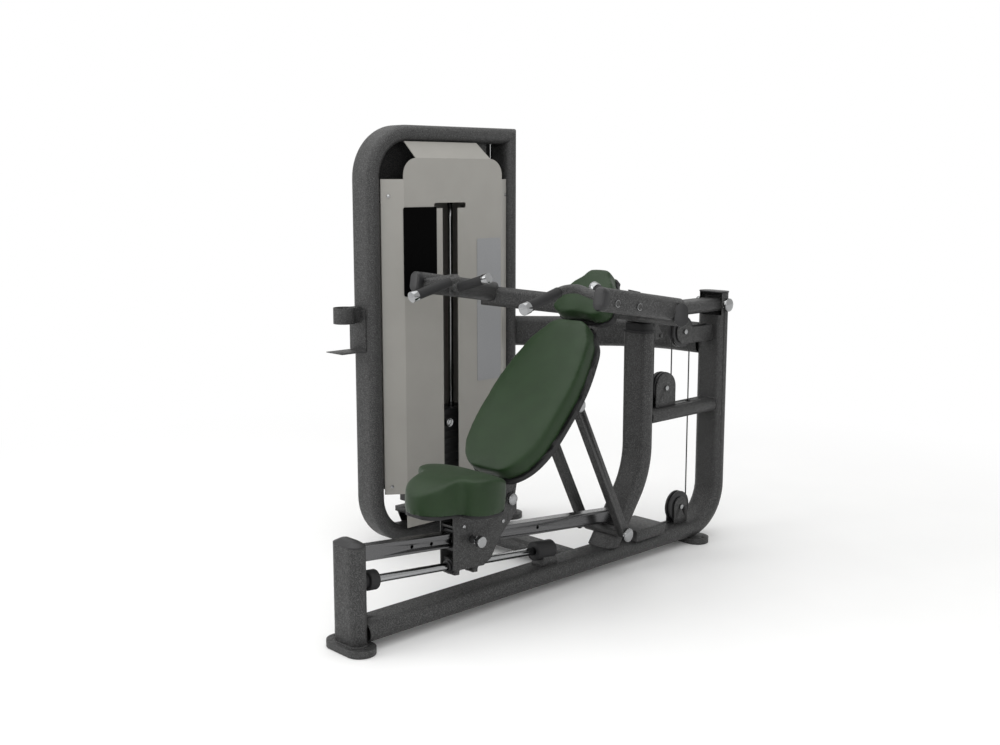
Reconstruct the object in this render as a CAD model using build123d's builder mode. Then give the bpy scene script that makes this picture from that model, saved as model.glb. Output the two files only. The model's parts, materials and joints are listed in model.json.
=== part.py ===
from build123d import *
import math
import os

# Multi press machine with a seat that slides on a rail, a reclining backrest on struts,
# a pivoting press arm and a weight tower. Millimetres, +Z up, the user faces -Y.
# Every distance "along" is measured from the centre of the front post towards the rear,
# every distance "across" from the machine's middle plane towards +X.

# ---- tubes -----------------------------------------------------------------------------
TUBE_W = 120.0            # main flat-oval tube, wide way
TUBE_T = 60.0             # main flat-oval tube, thin way
LIGHT_W = 100.0           # lighter flat-oval tube: boom, brace, floor link
LIGHT_T = 50.0
WALL = 3.0                # wall of every frame tube
FIT = 0.3                 # clearance of static fits and of curved faces
RUN = 0.05                # radial clearance of turning and sliding shafts

# ---- floor frame -----------------------------------------------------------------------
FOOT_T = 22.0             # floor plates
FOOT_L = 186.0
FOOT_D = 94.0
FOOT_BOLT_R = 5.5         # floor bolt holes
FOOT_BOLT_SPACING = 150.0
POST_TOP = 322.0          # top of the front post tube
POST_CAP_RISE = 16.0
UPRIGHT_ALONG = 1746.0    # rear upright
UPRIGHT_TOP = 952.0
BASE_BEND_R = 160.0       # centre line of the bend from floor tube to rear upright
REAR_FOOT_BACK = 135.0    # rear foot, in front of the rear upright
MID_ALONG = 1303.0        # middle upright
MID_TOP = 836.0
MID_SLANT = 198.0         # run of its slanted foot
MID_FOOT_ALONG = MID_ALONG - MID_SLANT    # where the slanted foot meets the floor tube
MID_KNEE_Z = 330.0
MID_BEND_R = 300.0
BRACE_Z = 522.0
REST_T = 34.0             # rubber rest that carries the boom

# ---- tower -----------------------------------------------------------------------------
TOWER_ACROSS = -738.0
TOWER_FRONT = 647.5       # centre of the front leg
TOWER_REAR = 1333.0       # centre of the rear leg
TOWER_H = 1574.0
TOWER_LIFT = 8.0          # underside of the bottom run above the floor
TOWER_BEND_R = 165.0
SHROUD_REACH = 95.0       # face of the shroud, from the middle of the tower tube
SHROUD_WING = 68.0        # slanted sides, measured along
WING_FOOT = 48.0          # outer edge of the slanted sides, from the middle of the tower
SHROUD_SHEET = 3.0
SHROUD_TOP = TOWER_H - 120.0
WING_TOP = TOWER_H - 196.0
WING_BOTTOM = 214.0
SHROUD_BOTTOM = 82.0
SLOT_ALONG = 968.0        # selector slot
SLOT_W = 76.0
SLOT_TOP = TOWER_H - 282.0
SLOT_BOTTOM = 150.0
SLOT_BAR_W = 157.0
SLOT_BAR_H = 20.0

WINDOW_ALONG = SLOT_ALONG - 147.0
WINDOW_Z = SHROUD_TOP - 338.0
WINDOW_W = 158.0
WINDOW_L = 323.0
PLACARD_ALONG = SLOT_ALONG + 197.0
PLACARD_Z = SHROUD_TOP - 576.0
PLACARD_W = 125.0
PLACARD_L = 552.0

# ---- weight stack ----------------------------------------------------------------------
PLATE_L = 290.0
PLATE_D = 104.0
PLATE_T = 28.6
PLATE_GAP = 0.4
LOW_PLATES = 10
HIGH_PLATES = 2
STACK_FLOOR = 150.0       # underside of the lowest plate
ROD_R = 10.0              # guide rods
ROD_SPACING = 164.0
STEM_R = 12.0
SELECTOR_R = 5.0

# ---- cables and pulleys ----------------------------------------------------------------
CABLE_R = 2.5
WRAP_R = 52.5             # cable centre on every pulley
PULLEY_RIM = 6.0          # rim outside the cable's centre
PULLEY_T = 24.0
AXLE_R = 6.0
CHEEK_T = 5.0             # pulley bracket plates
CHEEK_GAP = 30.0          # between the two plates
REAR_CABLE_ALONG = 1598.0
BASE_PULLEY_Z = 145.0
BRACE_PULLEY_Z = 617.0
TOP_PULLEY_Z = 817.0

# ---- rail and carriage -----------------------------------------------------------------
HINGE_ALONG = 633.0       # backrest hinge on the carriage
HINGE_Z = 348.0
RAIL_SLOPE = 5.18         # degrees, down towards the rear
RAIL_W = 40.0
RAIL_H = 46.0
RAIL_WALL = 3.0
RAIL_Z0 = 291.5           # rail centre at the front post
ROD_DROP = 88.0           # guide rod below the rail
SLIDE_ROD_R = 12.5
REAR_BLOCK_ALONG = 808.0
PIN_ALONG = HINGE_ALONG - 178.0           # pull pin
HOLE_PITCH = 78.0
RAIL_HOLE_R = 6.0
CARRIAGE_W = 66.0
CARRIAGE_SHEET = 5.0
CARRIAGE_FRONT = HINGE_ALONG - 254.0
HINGE_EYE_R = 22.0
HINGE_BOLT_R = 8.0

# ---- backrest and struts ---------------------------------------------------------------
BACK_ANGLE = 48.2         # backrest from level
PAD_FACE = 149.0          # front face of the pads in front of the hinge
PAD_T = 58.0
BOARD_T = 18.0
BEAM_T = 40.0             # square tube behind the board
STRUT_TOP_ALONG = HINGE_ALONG + 239.0
STRUT_TOP_Z = 637.0
STRUT_FOOT_ALONG = MID_FOOT_ALONG + 20.0
STRUT_FOOT_Z = 141.0
STRUT_SPREAD = 95.0       # strut centre from the middle plane
STRUT_T = 30.0
STRUT_BOLT_R = 10.0
TOP_STUD_R = 6.0          # stud in the struts' upper eyes
TOP_EYE_R = 20.0
TOP_PLAY = 7.0            # the upper eyes are drilled wide

# ---- seat ------------------------------------------------------------------------------
SEAT_TILT = 3.0           # underside of the seat, degrees, down towards the rear
SEAT_BOARD_T = 12.0
BOARD_IN = 26.0           # the board stays behind the edge of the pad
SEAT_UNDER_Z = 353.0      # underside of the seat at SEAT_REF
SEAT_CREST = 116.0        # highest line of the seat above that
SEAT_REF = HINGE_ALONG - 140.0
SEAT_FRONT = HINGE_ALONG - 411.0
SEAT_SHOULDER = HINGE_ALONG - 285.0       # front of the wide part
SEAT_BACK = HINGE_ALONG - 82.0
SEAT_HALF = 165.0
SEAT_NOSE_HALF = 100.0

# ---- press arm -------------------------------------------------------------------------
PIVOT_Z = 906.0
PIVOT_R = 10.0
HUB_R = 25.0
HUB_L = 80.0
BOOM_FRONT = 1300.0
ARM_W = 72.0              # yoke and arm tube, tall way
ARM_T = 44.0
ARM_ACROSS = 422.0
ARM_FRONT = 632.0
ARM_FRONT_Z = 1028.0
ARM_REAR = 1000.0
ARM_REAR_Z = 970.0
YOKE_END_ACROSS = 452.0
YOKE_END_ALONG = 960.0
YOKE_END_Z = 960.0
BAR_R = 14.0              # handle tube
GRIP_R = 16.5
TIP_R = 18.5              # polished end pieces
TIP_L = 22.0
CAP_L = 5.0               # end caps of the yoke

# ---- overall box, which sets the origin at the middle of the footprint -----------------
YOKE_CORNER = 1309.0      # where the yoke's two straight halves would meet, along
YOKE_SPAN = math.dist((0, YOKE_CORNER, PIVOT_Z), (YOKE_END_ACROSS, YOKE_END_ALONG, YOKE_END_Z))
YOKE_OUT = YOKE_END_ACROSS / YOKE_SPAN
YOKE_RISE = (YOKE_END_Z - PIVOT_Z) / YOKE_SPAN
YOKE_TIP = (ARM_W - ARM_T) / 2 * YOKE_RISE * YOKE_OUT / math.sqrt(1 - YOKE_RISE ** 2)
REACH_NEAR = YOKE_END_ACROSS + CAP_L * YOKE_OUT + YOKE_TIP + ARM_T / 2 * math.sqrt(1 - YOKE_OUT ** 2)
REACH_FAR = -TOWER_ACROSS + SHROUD_REACH
MID_X = (REACH_FAR - REACH_NEAR) / 2
CAP_EDGE = 2.0            # the cap's rim stands proud of the rear upright
FRONT_Y = -(UPRIGHT_ALONG + TUBE_T / 2 + CAP_EDGE - FOOT_D / 2) / 2
BASE_Z = FOOT_T + TUBE_T / 2
BASE_TOP = FOOT_T + TUBE_T
POST_BACK = TUBE_T / 2
UPRIGHT_FACE = UPRIGHT_ALONG - TUBE_T / 2


def side(across=0.0):
    """Upright plane facing +X: local x runs along the machine, local y runs up."""
    return Plane(origin=(MID_X + across, FRONT_Y, 0), x_dir=(0, 1, 0), z_dir=(1, 0, 0))


def level(z):
    """Level plane: local x runs across, local y runs along."""
    return Plane(origin=(MID_X, FRONT_Y, z))


def front(along):
    """Upright plane facing -Y: local x runs across, local y runs up."""
    return Plane(origin=(MID_X, FRONT_Y + along, 0), x_dir=(1, 0, 0), z_dir=(0, -1, 0))


def tilted(along, z, slope, across=0.0):
    """Plane whose local y runs rearwards and falls by slope degrees."""
    lean = math.radians(slope)
    return Plane(
        origin=(MID_X + across, FRONT_Y + along, z),
        x_dir=(1, 0, 0),
        z_dir=(0, math.sin(lean), math.cos(lean)),
    )


def normal_to(wire, across=(1, 0, 0)):
    """Plane across the start of a path."""
    return Plane(origin=wire @ 0, x_dir=across, z_dir=wire % 0)


def spot(across, along, z):
    """Point of the machine in the part's own frame."""
    return (MID_X + across, FRONT_Y + along, z)


def rail_z(along):
    """Height of the rail's centre line."""
    return RAIL_Z0 - math.tan(math.radians(RAIL_SLOPE)) * along


def save(piece, name):
    """Label one finished piece and write it."""
    piece.part.label = name
    export_step(piece.part, f"parts/{name}.step")


os.makedirs("parts", exist_ok=True)

# ======================= floor frame =====================================================
with BuildPart() as base_frame:
    with BuildLine(side()) as run:
        FilletPolyline(
            (POST_BACK, BASE_Z), (UPRIGHT_ALONG, BASE_Z), (UPRIGHT_ALONG, UPRIGHT_TOP),
            radius=BASE_BEND_R,
        )
    with BuildSketch(normal_to(run.line)):
        SlotOverall(TUBE_W, TUBE_T)
        SlotOverall(TUBE_W - 2 * WALL, TUBE_T - 2 * WALL, mode=Mode.SUBTRACT)
    sweep()
    # the boom enters the upright's top through its front
    with BuildSketch(level(PIVOT_Z - HUB_R - 14)):
        with Locations((0, UPRIGHT_FACE)):
            Rectangle(LIGHT_W + 3, TUBE_T)
    extrude(amount=UPRIGHT_TOP, mode=Mode.SUBTRACT)
    with BuildSketch(side(-TUBE_W)):
        with Locations((UPRIGHT_ALONG, PIVOT_Z)):
            Circle(PIVOT_R + FIT)
    extrude(amount=2 * TUBE_W, mode=Mode.SUBTRACT)
save(base_frame, "base_frame")

GUSSET = 62.0
with BuildPart() as front_post:
    with BuildSketch(level(FOOT_T)):
        SlotOverall(TUBE_W, TUBE_T)
        SlotOverall(TUBE_W - 2 * WALL, TUBE_T - 2 * WALL, mode=Mode.SUBTRACT)
    extrude(amount=POST_TOP - FOOT_T)
    # hollow-edged gusset in the corner behind it
    with BuildSketch(side(-WALL)):
        with BuildLine():
            Line((POST_BACK, BASE_TOP), (POST_BACK, BASE_TOP + GUSSET))
            ThreePointArc(
                (POST_BACK, BASE_TOP + GUSSET), (POST_BACK + 19, BASE_TOP + 19),
                (POST_BACK + GUSSET, BASE_TOP),
            )
            Line((POST_BACK + GUSSET, BASE_TOP), (POST_BACK, BASE_TOP))
        make_face()
    extrude(amount=2 * WALL)
save(front_post, "front_post")

with BuildPart() as tube_caps:
    with BuildSketch(level(POST_TOP)):
        SlotOverall(TUBE_W, TUBE_T)
    extrude(amount=4)
    with BuildSketch(level(POST_TOP + 4)):
        SlotOverall(TUBE_W, TUBE_T)
    with BuildSketch(level(POST_TOP + POST_CAP_RISE)):
        SlotOverall(TUBE_W - 50, TUBE_T - 34)
    loft()
    with BuildSketch(level(UPRIGHT_TOP)):
        with Locations((0, UPRIGHT_ALONG)):
            SlotOverall(TUBE_W + 2 * CAP_EDGE, TUBE_T + 2 * CAP_EDGE)
    extrude(amount=5)
save(tube_caps, "tube_caps")

REAR_FOOT_ALONG = UPRIGHT_ALONG - REAR_FOOT_BACK
FEET = ((0, 0), (0, REAR_FOOT_ALONG), (TOWER_ACROSS, TOWER_REAR))
with BuildPart() as floor_feet:
    for across, along in FEET:
        with BuildSketch(level(0)):
            with Locations((across, along)):
                SlotOverall(FOOT_L, FOOT_D)
            with Locations((across - FOOT_BOLT_SPACING / 2, along), (across + FOOT_BOLT_SPACING / 2, along)):
                Circle(FOOT_BOLT_R, mode=Mode.SUBTRACT)
        extrude(amount=FOOT_T)
    # pad under the front of the tower
    with BuildSketch(level(0)):
        with Locations((TOWER_ACROSS, TOWER_FRONT + TOWER_BEND_R)):
            Rectangle(TUBE_T, TUBE_T)
    extrude(amount=TOWER_LIFT)
save(floor_feet, "floor_feet")

with BuildPart() as mid_upright:
    with BuildLine(side()) as run:
        FilletPolyline(
            (MID_FOOT_ALONG, BASE_Z), (MID_ALONG, MID_KNEE_Z), (MID_ALONG, MID_TOP),
            radius=MID_BEND_R,
        )
    with BuildSketch(normal_to(run.line)):
        SlotOverall(TUBE_W, TUBE_T)
        SlotOverall(TUBE_W - 2 * WALL, TUBE_T - 2 * WALL, mode=Mode.SUBTRACT)
    sweep()
    with BuildSketch(level(0)):
        with Locations((0, MID_FOOT_ALONG)):
            Rectangle(2 * TUBE_W, 6 * TUBE_W)
    extrude(amount=BASE_TOP, mode=Mode.SUBTRACT)
save(mid_upright, "mid_upright")

with BuildPart() as boom_rest:
    with BuildSketch(level(MID_TOP)):
        with Locations((0, MID_ALONG)):
            SlotOverall(TUBE_W + 6, TUBE_T + 6)
    extrude(amount=8)
    with BuildSketch(level(MID_TOP + 8)):
        with Locations((0, MID_ALONG)):
            SlotOverall(TUBE_W - 6, TUBE_T - 6)
    extrude(amount=PIVOT_Z - LIGHT_T / 2 - FIT - MID_TOP - 8)
    # step for the lower edge of the yoke
    with BuildSketch(level(PIVOT_Z - ARM_W / 2 - 1)):
        with Locations((0, BOOM_FRONT + 1 - TUBE_T)):
            Rectangle(2 * TUBE_W, 2 * TUBE_T)
    extrude(amount=TUBE_W, mode=Mode.SUBTRACT)
save(boom_rest, "boom_rest")

with BuildPart() as upright_brace:
    with BuildSketch(front(UPRIGHT_FACE)):
        with Locations((0, BRACE_Z)):
            SlotOverall(LIGHT_W, LIGHT_T)
            SlotOverall(LIGHT_W - 2 * WALL, LIGHT_T - 2 * WALL, mode=Mode.SUBTRACT)
    extrude(amount=UPRIGHT_FACE - MID_ALONG - TUBE_T / 2)
    with BuildSketch(level(BRACE_Z - LIGHT_T)):
        with Locations((0, REAR_CABLE_ALONG)):
            SlotOverall(22, 16, rotation=90)
    extrude(amount=2 * LIGHT_T, mode=Mode.SUBTRACT)
save(upright_brace, "upright_brace")

# covered box over the cable's turn on the floor tube
BOX_FRONT = 1232.0
BOX_REAR = 1389.0
BOX_W = 150.0
BOX_H = 40.0
with BuildPart() as cable_box:
    with BuildSketch(level(BASE_TOP)):
        with Locations((-8, (BOX_FRONT + BOX_REAR) / 2)):
            Rectangle(BOX_W, BOX_REAR - BOX_FRONT)
    extrude(amount=BOX_H)
    fillet(cable_box.edges().filter_by(Axis.Y).group_by(Axis.Z)[-1], 8)
    with BuildSketch(level(BASE_TOP)):
        with Locations((-8, (BOX_FRONT + BOX_REAR) / 2)):
            Rectangle(BOX_W - 2 * WALL, BOX_REAR - BOX_FRONT - 2 * WALL)
    extrude(amount=BOX_H - WALL, mode=Mode.SUBTRACT)
    with BuildSketch(front(BOX_REAR + WALL)):
        with Locations((0, BASE_TOP + 8)):
            Rectangle(24, 24)
    extrude(amount=4 * WALL, mode=Mode.SUBTRACT)
save(cable_box, "cable_box")

# ======================= tubes to the tower ==============================================
CROSS_Z = 769.0
CROSS_START = TOWER_REAR + TUBE_T / 2
CROSS_TURN = 411.0        # the corner of the path, from the tower's middle
with BuildPart() as cross_tube:
    with BuildLine(level(CROSS_Z)) as run:
        FilletPolyline(
            (TOWER_ACROSS - 60, CROSS_START - 56),
            (TOWER_ACROSS + CROSS_TURN, UPRIGHT_ALONG),
            (-TUBE_W / 2, UPRIGHT_ALONG),
            radius=380,
        )
    with BuildSketch(normal_to(run.line, (0, 0, 1))):
        SlotOverall(TUBE_W, TUBE_T)
        SlotOverall(TUBE_W - 2 * WALL, TUBE_T - 2 * WALL, mode=Mode.SUBTRACT)
    sweep()
    with BuildSketch(level(0)):
        with Locations((TOWER_ACROSS, CROSS_START - 200)):
            Rectangle(400, 400)
    extrude(amount=TOWER_H, mode=Mode.SUBTRACT)
    # saddle at the rear upright's rounded side
    with BuildSketch(level(CROSS_Z - TUBE_W)):
        with Locations((0, UPRIGHT_ALONG)):
            SlotOverall(TUBE_W, TUBE_T)
    extrude(amount=2 * TUBE_W, mode=Mode.SUBTRACT)
save(cross_tube, "cross_tube")

LINK_ALONG = 1002.0
LINK_Z = FOOT_T + LIGHT_T / 2
with BuildPart() as floor_link:
    with BuildSketch(side(TOWER_ACROSS + TUBE_W / 2)):
        with Locations((LINK_ALONG, LINK_Z)):
            SlotOverall(LIGHT_W, LIGHT_T)
            SlotOverall(LIGHT_W - 2 * WALL, LIGHT_T - 2 * WALL, mode=Mode.SUBTRACT)
    extrude(amount=-TOWER_ACROSS - TUBE_W)
save(floor_link, "floor_link")

# ======================= weight tower ====================================================
LOOP_TOP = TOWER_H - TUBE_T / 2
LOOP_BOTTOM = TOWER_LIFT + TUBE_T / 2
mitre = Plane(
    origin=spot(TOWER_ACROSS, TOWER_REAR, LOOP_TOP), x_dir=(1, 0, 0), z_dir=(0, -1, 1)
)
with BuildPart() as tower_hoop:
    with BuildLine(side(TOWER_ACROSS)) as run:
        FilletPolyline(
            (TOWER_REAR + TUBE_T, LOOP_TOP),
            (TOWER_FRONT, LOOP_TOP),
            (TOWER_FRONT, LOOP_BOTTOM),
            (TOWER_REAR - TUBE_T / 2, LOOP_BOTTOM),
            radius=TOWER_BEND_R,
        )
    with BuildSketch(normal_to(run.line)):
        SlotOverall(TUBE_W, TUBE_T)
        SlotOverall(TUBE_W - 2 * WALL, TUBE_T - 2 * WALL, mode=Mode.SUBTRACT)
    sweep()
    with BuildSketch(side(TOWER_ACROSS - TUBE_W)):
        with BuildLine():
            Polyline(
                (TOWER_REAR - TUBE_T, LOOP_TOP - TUBE_T),
                (TOWER_REAR + TUBE_W, LOOP_TOP + TUBE_W),
                (TOWER_REAR + TUBE_W, LOOP_TOP - TUBE_T),
                close=True,
            )
        make_face()
    extrude(amount=2 * TUBE_W, mode=Mode.SUBTRACT)
    # the bottom run sits over the rear foot
    with BuildSketch(level(0)):
        with Locations((TOWER_ACROSS, TOWER_REAR)):
            SlotOverall(FOOT_L, FOOT_D)
    extrude(amount=FOOT_T, mode=Mode.SUBTRACT)
save(tower_hoop, "tower_hoop")

with BuildPart() as tower_rear_leg:
    with BuildSketch(level(FOOT_T)):
        with Locations((TOWER_ACROSS, TOWER_REAR)):
            SlotOverall(TUBE_W, TUBE_T)
            SlotOverall(TUBE_W - 2 * WALL, TUBE_T - 2 * WALL, mode=Mode.SUBTRACT)
    extrude(amount=TOWER_H + TUBE_T - FOOT_T)
    split(bisect_by=mitre, keep=Keep.BOTTOM)
save(tower_rear_leg, "tower_rear_leg")


def shroud_points(reach, foot):
    """Plan outline of one folded cover: two slanted wings and a face between them."""
    inner = TOWER_FRONT + TUBE_T / 2 + FIT
    outer = TOWER_REAR - TUBE_T / 2 - FIT
    return [(foot, inner), (reach, inner + SHROUD_WING), (reach, outer - SHROUD_WING), (foot, outer)]


def shroud_shell(sign):
    """Folded cover, open towards the stack, between the wings' heights."""
    reach = SHROUD_REACH * sign
    foot = WING_FOOT * sign
    thin = SHROUD_SHEET * sign
    with BuildPart() as shell:
        with BuildSketch(Plane(origin=spot(TOWER_ACROSS, 0, WING_BOTTOM))):
            with BuildLine():
                Polyline(*shroud_points(reach, foot), *reversed(shroud_points(reach - thin, foot - thin)),
                         close=True)
            make_face()
        extrude(amount=WING_TOP - WING_BOTTOM)
    return shell


FACE_MID = (TOWER_FRONT + TOWER_REAR) / 2
FACE_W = TOWER_REAR - TOWER_FRONT - TUBE_T - 2 * FIT - 2 * SHROUD_WING
with BuildPart() as front_shroud:
    add(shroud_shell(1).part)
    # the face runs on above and below the wings, with rounded upper corners
    with BuildSketch(side(TOWER_ACROSS + SHROUD_REACH - SHROUD_SHEET)):
        with Locations((FACE_MID, (SHROUD_TOP + SHROUD_BOTTOM) / 2)):
            Rectangle(FACE_W, SHROUD_TOP - SHROUD_BOTTOM)
    extrude(amount=SHROUD_SHEET)
    fillet(front_shroud.edges().filter_by(Axis.X).group_by(Axis.Z)[-1], 62)
    # neck that leans back to the top tube
    with BuildSketch(Plane(origin=spot(TOWER_ACROSS + SHROUD_REACH - SHROUD_SHEET, FACE_MID, SHROUD_TOP - 2),
                           x_dir=(0, 1, 0), z_dir=(math.cos(math.radians(35)), 0, math.sin(math.radians(35))))):
        with BuildLine():
            Polyline((-185, 0), (-205, 74), (150, 74), (185, 0), close=True)
        make_face()
    extrude(amount=SHROUD_SHEET)
    # selector slot with its wider head
    with BuildSketch(side(TOWER_ACROSS + SHROUD_REACH - 2 * SHROUD_SHEET)):
        with Locations((SLOT_ALONG, (SLOT_TOP + SLOT_BOTTOM) / 2)):
            Rectangle(SLOT_W, SLOT_TOP - SLOT_BOTTOM)
        with Locations((SLOT_ALONG, SLOT_TOP - SLOT_BAR_H / 2)):
            RectangleRounded(SLOT_BAR_W, SLOT_BAR_H, 8)
    extrude(amount=3 * SHROUD_SHEET, mode=Mode.SUBTRACT)
save(front_shroud, "front_shroud")

with BuildPart() as rear_shroud:
    add(shroud_shell(-1).part)
save(rear_shroud, "rear_shroud")

ROD_TOP = TOWER_H - 234.0   # upper ends of the guide rods
TOP_BAR_T = 15.0          # bar between the tower's legs that holds them
TOP_BAR_W = 80.0
BRACKET_H = 30.0
BACKING_REACH = 59.0      # back of the sheet, from the middle of the tower tube
BACKING_BEND_R = 143.0
TAB_L = 18.0
BACKING_STEP = 40.0       # narrower between the slanted sides of the rear shroud
BACKING_IN = 12.0         # reaches in under the round of the tubes
BACKING_TOP = TOWER_H - TUBE_T + BACKING_IN
BACKING_FRONT = TOWER_FRONT + TUBE_T / 2 - BACKING_IN
BACKING_REAR = TOWER_REAR - TUBE_T / 2 + BACKING_IN
# brackets that carry both shrouds and the bar between the legs
BRACKET_L = TOWER_REAR - TOWER_FRONT - TUBE_T - 2 * FIT
with BuildPart() as shroud_brackets:
    for height in (WING_BOTTOM + 20, ROD_TOP - TOP_BAR_T - BRACKET_H):
        with BuildSketch(level(height)):
            with Locations((TOWER_ACROSS, TOWER_FRONT + TUBE_T / 2 + FIT + 15)):
                Rectangle(2 * (WING_FOOT - SHROUD_SHEET), 30)
            with Locations((TOWER_ACROSS, TOWER_REAR - TUBE_T / 2 - FIT - 15)):
                Rectangle(2 * (WING_FOOT - SHROUD_SHEET), 30)
        extrude(amount=BRACKET_H)
    # tabs on the upper brackets, and the dark sheet they carry behind the upper pulleys
    with BuildSketch(level(ROD_TOP - TOP_BAR_T - BRACKET_H)):
        for along in (BACKING_FRONT + BACKING_STEP + 4, BACKING_REAR - BACKING_STEP - 4):
            with Locations((TOWER_ACROSS - BACKING_REACH + TAB_L / 2, along)):
                Rectangle(TAB_L, 12)
    extrude(amount=BRACKET_H)
    with BuildSketch(side(TOWER_ACROSS - BACKING_REACH)):
        with BuildLine():
            Polyline(
                (BACKING_FRONT, WING_TOP + 4), (BACKING_FRONT, BACKING_TOP),
                (BACKING_REAR, BACKING_TOP), (BACKING_REAR, WING_TOP + 4),
                (BACKING_REAR - BACKING_STEP, WING_TOP + 4), (BACKING_REAR - BACKING_STEP, SLOT_TOP),
                (BACKING_FRONT + BACKING_STEP, SLOT_TOP), (BACKING_FRONT + BACKING_STEP, WING_TOP + 4),
                close=True,
            )
        make_face()
    extrude(amount=SHROUD_SHEET)
    fillet(shroud_brackets.edges().filter_by(Axis.X).group_by(Axis.Z)[-1].sort_by(Axis.Y)[0], BACKING_BEND_R)
save(shroud_brackets, "shroud_brackets")

with BuildPart() as window_panel:
    with BuildSketch(side(TOWER_ACROSS + SHROUD_REACH + FIT)):
        with Locations((WINDOW_ALONG, WINDOW_Z)):
            RectangleRounded(WINDOW_W, WINDOW_L, 8)
    extrude(amount=1.5)
save(window_panel, "window_panel")

with BuildPart() as guide_placard:
    with BuildSketch(side(TOWER_ACROSS + SHROUD_REACH + FIT)):
        with Locations((PLACARD_ALONG, PLACARD_Z)):
            RectangleRounded(PLACARD_W, PLACARD_L, 8)
    extrude(amount=1.2)
save(guide_placard, "guide_placard")

# ======================= weight stack ====================================================
LOW_TOP = STACK_FLOOR + LOW_PLATES * (PLATE_T + PLATE_GAP)
HIGH_TOP = LOW_TOP + HIGH_PLATES * (PLATE_T + PLATE_GAP)
TUBE_UNDER = LOOP_TOP - TUBE_T / 2


def weight_plates(first_z, count, bore):
    """Cast plates one above the other, with guide rod holes and the stem's bore."""
    with BuildPart() as plates:
        for number in range(int(count)):
            base = first_z + number * (PLATE_T + PLATE_GAP)
            with BuildSketch(level(base)):
                with Locations((TOWER_ACROSS, SLOT_ALONG)):
                    RectangleRounded(PLATE_D, PLATE_L, 10)
                with Locations(
                    (TOWER_ACROSS, SLOT_ALONG - ROD_SPACING / 2),
                    (TOWER_ACROSS, SLOT_ALONG + ROD_SPACING / 2),
                ):
                    Circle(ROD_R + 1, mode=Mode.SUBTRACT)
                with Locations((TOWER_ACROSS, SLOT_ALONG)):
                    Circle(bore, mode=Mode.SUBTRACT)
            extrude(amount=PLATE_T)
    return plates


PIN_Z = HIGH_TOP - PLATE_GAP - PLATE_T * 1.5 - PLATE_GAP
with BuildPart() as weight_stack:
    add(weight_plates(STACK_FLOOR, LOW_PLATES, STEM_R + 1.5).part)
save(weight_stack, "weight_stack")

with BuildPart() as lifted_plates:
    add(weight_plates(LOW_TOP, HIGH_PLATES, STEM_R + FIT).part)
    with BuildSketch(side(TOWER_ACROSS)):
        with Locations((SLOT_ALONG, PIN_Z)):
            Circle(SELECTOR_R + 0.2)
    extrude(amount=PLATE_D, mode=Mode.SUBTRACT)
save(lifted_plates, "lifted_plates")

with BuildPart() as selector_stem:
    with BuildSketch(level(LOW_TOP - 5 * (PLATE_T + PLATE_GAP))):
        with Locations((TOWER_ACROSS, SLOT_ALONG)):
            Circle(STEM_R)
    extrude(amount=HIGH_TOP + 22 - LOW_TOP + 5 * (PLATE_T + PLATE_GAP))
    with BuildSketch(side(TOWER_ACROSS - 2 * STEM_R)):
        for step in range(-3, 1):
            with Locations((SLOT_ALONG, PIN_Z + step * (PLATE_T + PLATE_GAP))):
                Circle(SELECTOR_R + 0.2)
    extrude(amount=4 * STEM_R, mode=Mode.SUBTRACT)
save(selector_stem, "selector_stem")

PIN_HEAD_X = SHROUD_REACH - 31
with BuildPart() as selector_pin:
    with BuildSketch(side(TOWER_ACROSS - STEM_R / 2)):
        with Locations((SLOT_ALONG, PIN_Z)):
            Circle(SELECTOR_R)
    extrude(amount=STEM_R / 2 + PIN_HEAD_X)
    with BuildSketch(side(TOWER_ACROSS + PIN_HEAD_X)):
        with Locations((SLOT_ALONG, PIN_Z)):
            Circle(16)
    extrude(amount=22)
save(selector_pin, "selector_pin")

with BuildPart() as guide_rods:
    with BuildSketch(level(STACK_FLOOR - 40)):
        with Locations(
            (TOWER_ACROSS, SLOT_ALONG - ROD_SPACING / 2),
            (TOWER_ACROSS, SLOT_ALONG + ROD_SPACING / 2),
        ):
            Circle(ROD_R)
    extrude(amount=ROD_TOP - STACK_FLOOR + 40)
save(guide_rods, "guide_rods")

with BuildPart() as rubber_bumpers:
    with BuildSketch(level(STACK_FLOOR - 20)):
        with Locations(
            (TOWER_ACROSS, SLOT_ALONG - ROD_SPACING / 2),
            (TOWER_ACROSS, SLOT_ALONG + ROD_SPACING / 2),
        ):
            Circle(26)
            Circle(ROD_R + FIT, mode=Mode.SUBTRACT)
    extrude(amount=20)

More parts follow.
